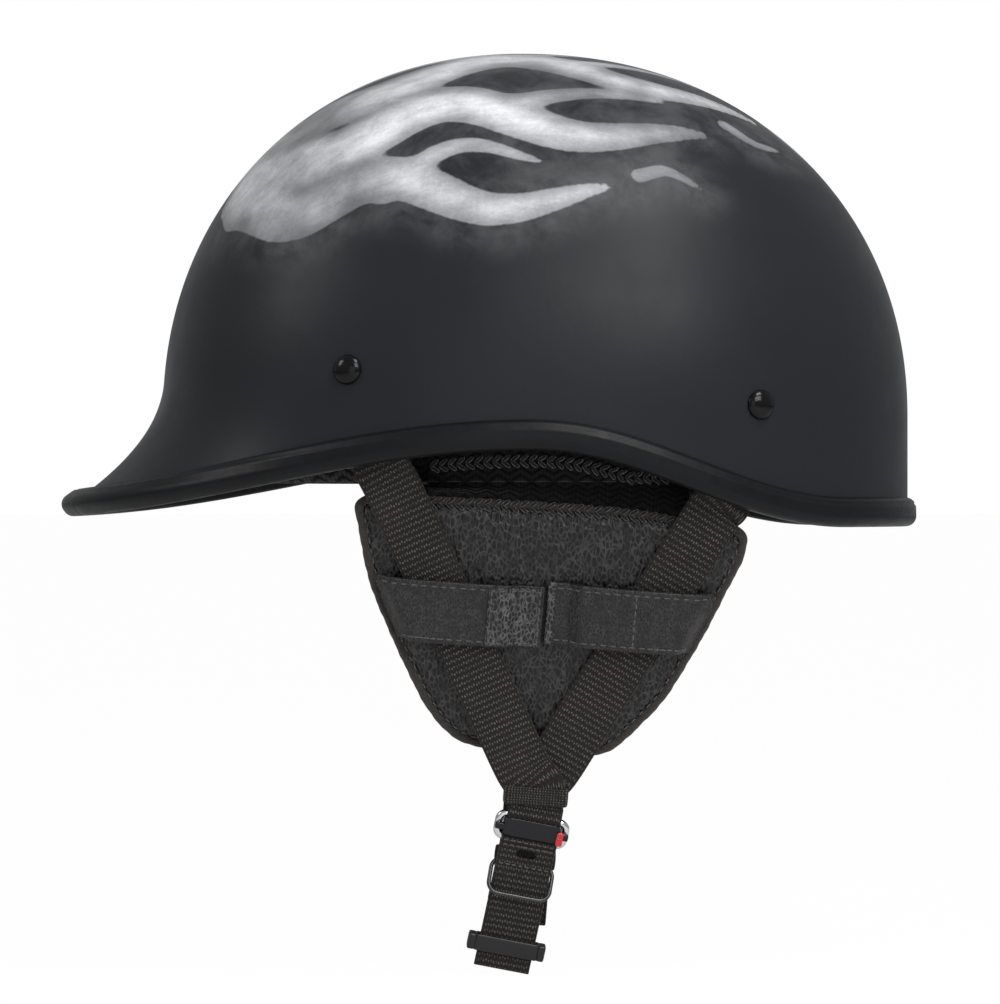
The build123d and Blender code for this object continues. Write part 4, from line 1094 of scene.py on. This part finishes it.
class HELMET_OT_flaps(bpy.types.Operator):
    """Ear flaps: leather panel with its creases, brown lining, felt edge, its seam of thread and its braid"""
    bl_idname = "helmet.flaps"
    bl_label = "Ear flaps"

    def execute(self, context):
        s = sizes()
        creases = ((-0.001, 0.0022, 0.13), (0.0095, 0.0026, 0.11), (-0.034, 0.003, 0.10),
                   (0.037, 0.004, 0.10))
        leather_panel = cushion(flap_seam + 0.0002, flap_outer, 7, creases)
        lining_panel = cushion(flap_seam - 0.0002, flap_inner, 4, ((0.004, 0.004, 0.12),))
        fine = 520
        outline = flap_line(fine)
        round_share = np.arange(fine) * 2 * np.pi / fine
        sway = 1 + 0.05 * np.sin(round_share * 41) + 0.04 * np.sin(round_share * 87)
        line = np.stack(drawn_in(outline, s.binding_width / 2), -1)
        ahead = unit(np.roll(line, -1, 0) - np.roll(line, 1, 0))
        outward = np.stack([ahead[:, 1], -ahead[:, 0]], -1)
        outward = outward * np.sign(((line - line.mean(0)) * outward).sum(1).mean())
        ring = rounded_outline(s.binding_width, 0.0038, 0.0014, 3, 4, 6)
        flat = line[:, None] + outward[:, None] * (ring[None, :, :1] * sway[:, None, None])
        height = flap_seam + ring[None, :, 1] * sway[:, None]
        edge = grid(side_points(flat[..., 0], flat[..., 1], height), line_run(line, True), ring[:, 1], True)

        count = 96
        marks = even_line(np.stack(drawn_in(outline, s.binding_width + 0.0006), -1), count, True)
        step = np.roll(marks, -1, 0) - marks
        place = side_points(marks[:, 0], marks[:, 1], flap_seam + 0.00165)
        ahead = np.concatenate([step, np.zeros((count, 1))], 1) @ side_axes
        across, up = drawn_in(outline, 0.0020)
        upper = np.flatnonzero((up > -0.012) & (across > -0.0430) & (across < 0.0445))
        upper = upper[np.argsort(across[upper])]
        top = side_points(across[upper], up[upper], flap_seam + 0.0021)
        for panel in pair("flap_panel_*", leather_panel, "flap_leather", "*_side", ["ear_flap_*"],
                          "flap_leather"):
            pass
        for inside in pair("flap_inside_*", lining_panel, "flap_lining", "*_side", ["ear_flap_lining_*"],
                           "flap_lining"):
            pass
        pair("flap_edge_*", edge, "binding_cloth", "*_side", ["flap_binding_*"], "binding_cloth")
        for side, signs in sides:
            body, out = side + "_side", side_axes[2] * signs
            braid("flap_braid_" + side, top * signs, out, body)
            thread("flap_seam_" + side, place * signs, ahead * signs, np.tile(out, (count, 1)), body, 0.2)
        return {"FINISHED"}


# Keeper tabs: the points of their line, how far they cover the straps and clear them, the gap between the
# two tabs, and how far below the swing axis each starts
tab_points = 240
tab_cover, tab_clear, tab_middle_gap = 0.046, 0.0004, 0.0012
front_tab_drop, rear_tab_drop = 0.031, 0.029


def tab_line(way):
    """Middle line of a keeper tab, in along and out, rounded by averaging over a few millimetres, and the
    height of its middle. The tab lies over both straps for its cover, then lands on the flap."""
    s = sizes()
    hinge, drop = (0.0597, front_tab_drop) if way < 0 else (0.0585, rear_tab_drop)
    lift = s.webbing_thickness / 2 + over_lift * (front_tab_drop + s.tab_height) / strap_drop + tab_clear
    land = flap_outer + 0.001
    marks = np.array([(hinge, -0.0017), (hinge - 0.0018, -0.0008), (hinge - 0.0058, lift),
                      (hinge - tab_cover, lift), (hinge - tab_cover - 0.004, land), (tab_middle_gap / 2, land)])
    marks[:, 1] += s.tab_thickness / 2
    line = even_line(marks, tab_points)
    reach = 7
    kernel = np.hanning(2 * reach + 3)[1:-1]
    padded = np.concatenate([2 * line[:1] - line[reach:0:-1], line, 2 * line[-1:] - line[-2:-reach - 2:-1]])
    line = np.stack([np.convolve(padded[:, k], kernel / kernel.sum(), "valid") for k in (0, 1)], -1)
    share = np.clip((hinge - line[:, 0]) / tab_cover, 0, 1)
    line[:, 1] += 0.0007 * np.sin(np.pi * share) ** 2
    return line * np.array([way, 1]), -(drop + s.tab_height / 2)


def tab_ways(line):
    """Directions along a tab's line and square off it, outward."""
    step = unit(np.gradient(line, axis=0))
    facing = np.stack([-step[:, 1], step[:, 0]], -1)
    return step, facing * np.sign(facing[:, 1:])


def tab_strip(line, up, low, high, thickness, lift, width):
    """A strip laid on part of a tab's line, lifted square off it."""
    part = line[low:high]
    path = part + tab_ways(part)[1] * lift
    points, u, v, loop = band(side_points(path[:, 0], up, path[:, 1]), side_axes[1], width, thickness, 0.4)
    return sewn_end(points, line[0, 0]), u, v, loop


def sewn_end(points, hinge):
    """Draws a tab's sewn end in to the felt edge: what is near the end moves along the tab, by how far
    the flap's outline has come in at that height, and sinks to the seam."""
    outline = flap_line()
    outline = outline[outline[:, 0] * hinge > 0]
    outline = outline[np.argsort(outline[:, 1])]
    flat = (points - side_middle) @ side_axes.T
    edge = np.interp(flat[..., 1], outline[:, 1], outline[:, 0]) - np.sign(hinge) * 0.0026
    room = np.clip((abs(hinge) - abs(edge)), 0.0, None)
    reach = np.clip(abs(hinge) - abs(flat[..., 0]), 0, None)
    flat[..., 0] -= np.sign(hinge) * room * (1 - smooth_step(reach, 0.0, 0.026))
    flat[..., 2] -= 0.0014 * (1 - smooth_step(reach, 0.0, 0.004)) * smooth_step(room, 0.0, 0.002)
    return side_middle + flat @ side_axes


class HELMET_OT_tabs(bpy.types.Operator):
    """Leather keeper tabs over the straps, with their stitching, end patch and folded end"""
    bl_idname = "helmet.tabs"
    bl_label = "Keeper tabs"

    def execute(self, context):
        s = sizes()
        patch = 0.0007
        half, edge = s.tab_thickness / 2, s.tab_height / 2 - 0.0019
        over = half + 0.0006
        # Stitches: rows at some points of the tab's line, and columns across it at one point, each at a lift
        front_rows = ((np.linspace(16, 150, 11).astype(int), half),
                      (np.linspace(164, 231, 6).astype(int), over))
        rear_rows = ((np.linspace(16, 222, 16).astype(int), half),)
        for name, way, rows, columns in (("front", -1, front_rows, ((162, over), (233, over))),
                                         ("rear", 1, rear_rows, ((112, half),))):
            line, up = tab_line(way)
            strip = tab_strip(line, up, 0, tab_points, s.tab_thickness, 0.0, s.tab_height)
            if way < 0:
                extra = tab_strip(line, up, 158, 236, patch, half + 0.0002, s.tab_height - 0.0016)
            else:
                extra = tab_strip(line, up, 229, tab_points, s.tab_thickness + patch, 0.0002,
                                  s.tab_height + 0.0002)
            step, facing = tab_ways(line)
            level = np.zeros(tab_points)
            step_ways = np.stack([step[:, 0], level, step[:, 1]], -1) @ side_axes
            out_ways = np.stack([facing[:, 0], level, facing[:, 1]], -1) @ side_axes
            runs = []
            for at, lift in rows:
                for offset in (-edge, edge):
                    spots = line[at] + facing[at] * lift
                    spots = sewn_end(side_points(spots[:, 0], up + offset, spots[:, 1]), line[0, 0])
                    runs.append((spots, step_ways[at], out_ways[at]))
            for at, lift in columns:
                spot = line[at] + facing[at] * lift
                offsets = np.linspace(-0.0085, 0.0085, 7)
                runs.append((side_points(spot[0], up + offsets, spot[1]), np.tile(side_axes[1], (7, 1)),
                             np.tile(out_ways[at], (7, 1))))
            spots, ahead, out = (np.concatenate(x) for x in zip(*runs))
            body = f"*_{name}_tab"
            # The tab and its end piece are finished in the lighter leather that paints their sheen.
            pair(f"tab_{name}_*", strip, "tab_leather", body, [f"keeper_tab_{name}_*"], "flap_leather")
            pair(f"tab_end_{name}_*", extra, "patch_leather_sheen", body, (), "flap_leather")
            for side, signs in sides:
                thread(f"tab_seam_{name}_{side}", spots * signs, ahead * signs, out * signs,
                       body.replace("*", side), 0.25)
        return {"FINISHED"}


def lower_points(level, up, out):
    return chain_points(level, up, out, ring_height)


def with_slot(obj, cutter_grid, finish):
    """Cuts a through slot with a closed cutter and puts the result into the object's own mesh."""
    cutter = piece("slot_cutter", [cutter_grid], finish)
    cut = obj.modifiers.new("Slot", "BOOLEAN")
    cut.operation, cut.solver, cut.object = "DIFFERENCE", "EXACT", cutter
    bpy.context.view_layer.update()
    ready = bpy.data.meshes.new_from_object(obj.evaluated_get(bpy.context.evaluated_depsgraph_get()))
    obj.modifiers.clear()
    obj.data = ready
    bpy.data.objects.remove(cutter)


class HELMET_OT_chain(bpy.types.Operator):
    """What hangs below the left sleeve: the straps' fold, guard plate, release tab, short strap and slider"""
    bl_idname = "helmet.chain"
    bl_label = "Buckle side"

    def execute(self, context):
        s = sizes()
        level = np.array([np.cos(chain_lean), -np.sin(chain_lean), 0]) @ side_axes
        # The webbing's middle line on its way down, round the ring's bar and up again, in millimetres
        fold = [(5.3, -0.93), (4.3, -1.05), (2.9, -1.55), (1.3, -2.05), (0, -2.3), (-1.63, -1.63), (-2.3, 0),
                (-1.63, 1.63), (0, 2.3), (1.3, 2.05), (2.9, 1.55), (4.3, 1.05), (5.3, 0.93)]
        line = smooth_line(fold, 70) * 0.001
        piece("strap_fold", [band(chain_points(0.0, line[:, 0], line[:, 1]), level, 0.0194, 0.0013)],
              "webbing", "left_side", ["strap_loop_left"], "webbing")

        # Each block has its middle and its size along, up and out, and how square its edges are
        plate = [block(chain_points, (0, -0.0035, 0.0037), (0.0202, 0.0064, 0.001), 9)]
        plate += [block(chain_points, (way * 0.0115, -0.004, 0.0028), (0.0034, 0.0024, 0.0025), 6)
                  for way in (-1, 1)]
        piece("plate_and_clips", plate, "guard_plate", "ring", ["ring_plate"], "black_plastic")
        tab_along = 0.0101
        tab = [block(chain_points, (tab_along, -0.0046, 0.0048), (0.0024, 0.0050, 0.001), 5)]
        tab += [block(chain_points, (tab_along, up, 0.00525), (0.0022, 0.0005, 0.0003), 4)
                for up in (-0.0028, -0.0036, -0.0044)]
        piece("red_tab", tab, "release_red", "release", ["release_tab"], "release_red")

        path = [(-24, -0.78), (-18, -0.78), (-12, -0.78), (-8, -0.8), (-4.2, -1.25), (-1.9, -1.95), (0, -2.3),
                (1.63, -1.63), (2.3, 0), (1.63, 1.63), (0, 2.3), (-1.9, 1.95), (-4.2, 1.25), (-8, 0.8),
                (-12, 0.78), (-20, 0.78), (-30, 0.78), (-40, 0.78), (-48.7, 0.78)]
        line = smooth_line(path, 170) * 0.001
        strip = band(lower_points(0.0, line[:, 0], line[:, 1]), level, s.webbing_width, s.webbing_thickness)
        strap = piece("short_webbing", [strip], "webbing", None, ["short_strap"], "webbing")
        hole = rounded_outline(0.007, 0.0033, 0.00164, 3, 1, 9)
        depth = np.linspace(-0.005, 0.005, 3)[:, None]
        with_slot(strap, grid(lower_points(hole[None, :, 0], hole[None, :, 1] - 0.0052, depth)), "webbing")
        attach(strap, "strap_end")
        across = np.linspace(-0.0082, 0.0082, 8)
        spots = np.concatenate([lower_points(across, up, out + s.webbing_thickness / 2) for up, out in
                                ((-0.0006, 0.0023), (-0.0024, 0.0018), (-0.0098, short_layer))])
        ahead, out = np.tile(level, (len(spots), 1)), np.tile(side_axes[2], (len(spots), 1))
        thread("short_seam", spots, ahead, out, "strap_end", 0.2, 0.8, 1.1)

        def place(a, b, c):
            return lower_points(a, c - slider_drop, short_layer + b)

        slider = [collar(place, 0.0212, 0.0021, 0.0012, 0.006, 0.0002)]
        slider += [block(lower_points, (way * 0.0126, -slider_drop, short_layer), (0.0028, 0.006, 0.005), 6)
                   for way in (-1, 1)]
        piece("slider_bar", slider, "black_plastic", "slider", ["strap_slider"], "black_plastic")
        return {"FINISHED"}


class HELMET_OT_chin(bpy.types.Operator):
    """The long chin strap on the right, folded in layers and kept by a rubber loop"""
    bl_idname = "helmet.chin"
    bl_label = "Chin strap"

    def execute(self, context):
        s = sizes()
        # The strap's middle line as it folds down, up and down again, in millimetres
        path = [(0, 0), (-10, 0), (-26, 0), (-44, 0), (-53, -0.05), (-54.95, -0.95), (-53, -1.85),
                (-44, -1.9), (-26, -1.9), (-10, -1.9), (-8.6, -1.95), (-7.05, -2.85), (-8.6, -3.75),
                (-10, -3.8), (-26, -3.8), (-44, -3.8), (-54, -3.8)]
        line = smooth_line(path, 260) * 0.001
        points = side_points(ring_along, line[:, 0] - chin_drop, chain_out + line[:, 1])
        signs = dict(sides)["right"]
        strip = band(points, side_axes[0], s.webbing_width, s.webbing_thickness)
        piece("chin_webbing", [turned(strip, signs)], "webbing", "chin", ["chin_strap"], "webbing")

        def place(a, b, c):
            return side_points(ring_along + a, c - chin_drop - 0.030, chain_out - chin_layer + b)

        rubber_loop = collar(place, 0.0208, 0.0059, 0.0012, 0.008, 0.0003)
        piece("chin_rubber", [turned(rubber_loop, signs)], "strap_rubber", "chin_loop",
              ["chin_strap_loop"], "strap_rubber")
        return {"FINISHED"}


def soft_lamp(name, place, aim, width, height, power):
    lamp = bpy.data.lights.new(name, "AREA")
    lamp.shape, lamp.size, lamp.size_y, lamp.energy = "RECTANGLE", width, height, power
    obj = bpy.data.objects.new(name, lamp)
    bpy.context.scene.collection.objects.link(obj)
    obj.location = place
    obj.rotation_mode = "QUATERNION"
    obj.rotation_quaternion = (Vector(aim) - Vector(place)).to_track_quat("-Z", "Y")


class HELMET_OT_stage(bpy.types.Operator):
    """Camera at the photograph's angle, pale floor, white surround and soft lamps"""
    bl_idname = "helmet.stage"
    bl_label = "Stage"

    def execute(self, context):
        scene = context.scene
        scene.view_settings.view_transform = "Standard"
        camera = bpy.data.cameras.new("Camera")
        distance, view_width = 1.55, 0.3735
        camera.sensor_width = 36.0
        camera.lens = camera.sensor_width * distance / view_width
        eye = bpy.data.objects.new("Camera", camera)
        scene.collection.objects.link(eye)
        eye.location = (-0.015, -distance, 0.001)
        eye.rotation_euler = (np.radians(90), 0, 0)
        scene.camera = eye

        level, reach = float(cad_box[0][2]) - 0.0004, 60
        corners = [(x * reach, y * reach, level) for x, y in ((-1, -1), (1, -1), (1, 1), (-1, 1))]
        mesh = bpy.data.meshes.new("floor")
        mesh.from_pydata(corners, [], [(0, 1, 2, 3)])
        floor = bpy.data.objects.new("floor", mesh)
        scene.collection.objects.link(floor)
        f = Finish("pale_floor", (0.94, 0.94, 0.94), 0.9)
        pale = f.mix(f.noise(3, 3), (0.93, 0.93, 0.93), (0.95, 0.95, 0.95))
        f.finish(Base_Color=pale, Specular_IOR_Level=0.0)
        # The camera sees the floor almost as white as the surround, with the shadow left on it
        share = f.times(f.node("LightPath").outputs["Is Camera Ray"], 0.98)
        white = f.node("Emission", None, Color=(1, 1, 1), Strength=1.0).outputs[0]
        both = f.node("MixShader", None, _0=share, _1=f.shader.outputs[0], _2=white).outputs[0]
        f.put(f.tree.nodes["Material Output"], Surface=both)
        mesh.materials.append(f.material)

        world = bpy.data.worlds.new("surround")
        scene.world = world
        world.use_nodes = True
        world.node_tree.nodes.clear()
        # The surround lights the object weakly. The camera sees it white, polished surfaces in part.
        w = Nodes(world.node_tree)
        rays = w.node("LightPath").outputs
        lit = w.node("Background", None, Color=(0.93, 0.96, 1.0), Strength=0.20).outputs[0]
        shown = w.node("Background", None, Color=(1, 1, 1), Strength=1.0).outputs[0]
        share = w.math("MAXIMUM", rays["Is Camera Ray"], w.times(rays["Is Glossy Ray"], 0.3))
        share = w.math("MAXIMUM", share, rays["Is Transmission Ray"])
        both = w.node("MixShader", None, _0=share, _1=lit, _2=shown).outputs[0]
        w.put(w.tree.nodes.new("ShaderNodeOutputWorld"), Surface=both)

        soft_lamp("key", (0.55, -1.20, 0.78), (0.02, -0.06, 0.05), 0.80, 0.60, 14.0)
        soft_lamp("overhead", (0.38, -0.50, 0.98), (0.02, -0.05, 0.06), 0.46, 0.40, 8.0)
        soft_lamp("left_panel", (-0.92, -0.36, 0.60), (-0.06, -0.07, 0.06), 0.32, 0.40, 3.0)
        soft_lamp("front_fill", (-0.2, -1.7, 0.15), (0.0, 0.0, -0.05), 0.9, 0.9, 2.5)
        return {"FINISHED"}


steps = (HELMET_OT_stage, HELMET_OT_finishes, HELMET_OT_shell, HELMET_OT_rivets, HELMET_OT_padding,
         HELMET_OT_straps, HELMET_OT_flaps, HELMET_OT_tabs, HELMET_OT_chain, HELMET_OT_chin)


class HELMET_PT_panel(bpy.types.Panel):
    """Lists the helmet's sizes, colours and steps in the sidebar"""
    bl_label = "Half shell helmet"
    bl_idname = "HELMET_PT_panel"
    bl_space_type = "VIEW_3D"
    bl_region_type = "UI"
    bl_category = "Helmet"

    def draw(self, context):
        layout = self.layout
        for group in (context.scene.helmet_sizes, context.scene.helmet_colours):
            column = layout.column(align=True)
            for key in type(group).__annotations__:
                column.prop(group, key)
        for step in steps:
            layout.operator(step.bl_idname)


classes = (HelmetSizes, HelmetColours, *steps, HELMET_PT_panel)


def register():
    for cls in classes:
        bpy.utils.register_class(cls)
    bpy.types.Scene.helmet_sizes = bpy.props.PointerProperty(type=HelmetSizes)
    bpy.types.Scene.helmet_colours = bpy.props.PointerProperty(type=HelmetColours)


def unregister():
    del bpy.types.Scene.helmet_colours
    del bpy.types.Scene.helmet_sizes
    for cls in reversed(classes):
        bpy.utils.unregister_class(cls)


def main():
    register()
    bpy.ops.helmet.stage()
    bpy.ops.helmet.finishes()
    bpy.ops.helmet.shell()
    bpy.ops.helmet.rivets()
    bpy.ops.helmet.padding()
    bpy.ops.helmet.straps()
    bpy.ops.helmet.flaps()
    bpy.ops.helmet.tabs()
    bpy.ops.helmet.chain()
    bpy.ops.helmet.chin()


if __name__ == "__main__":
    main()
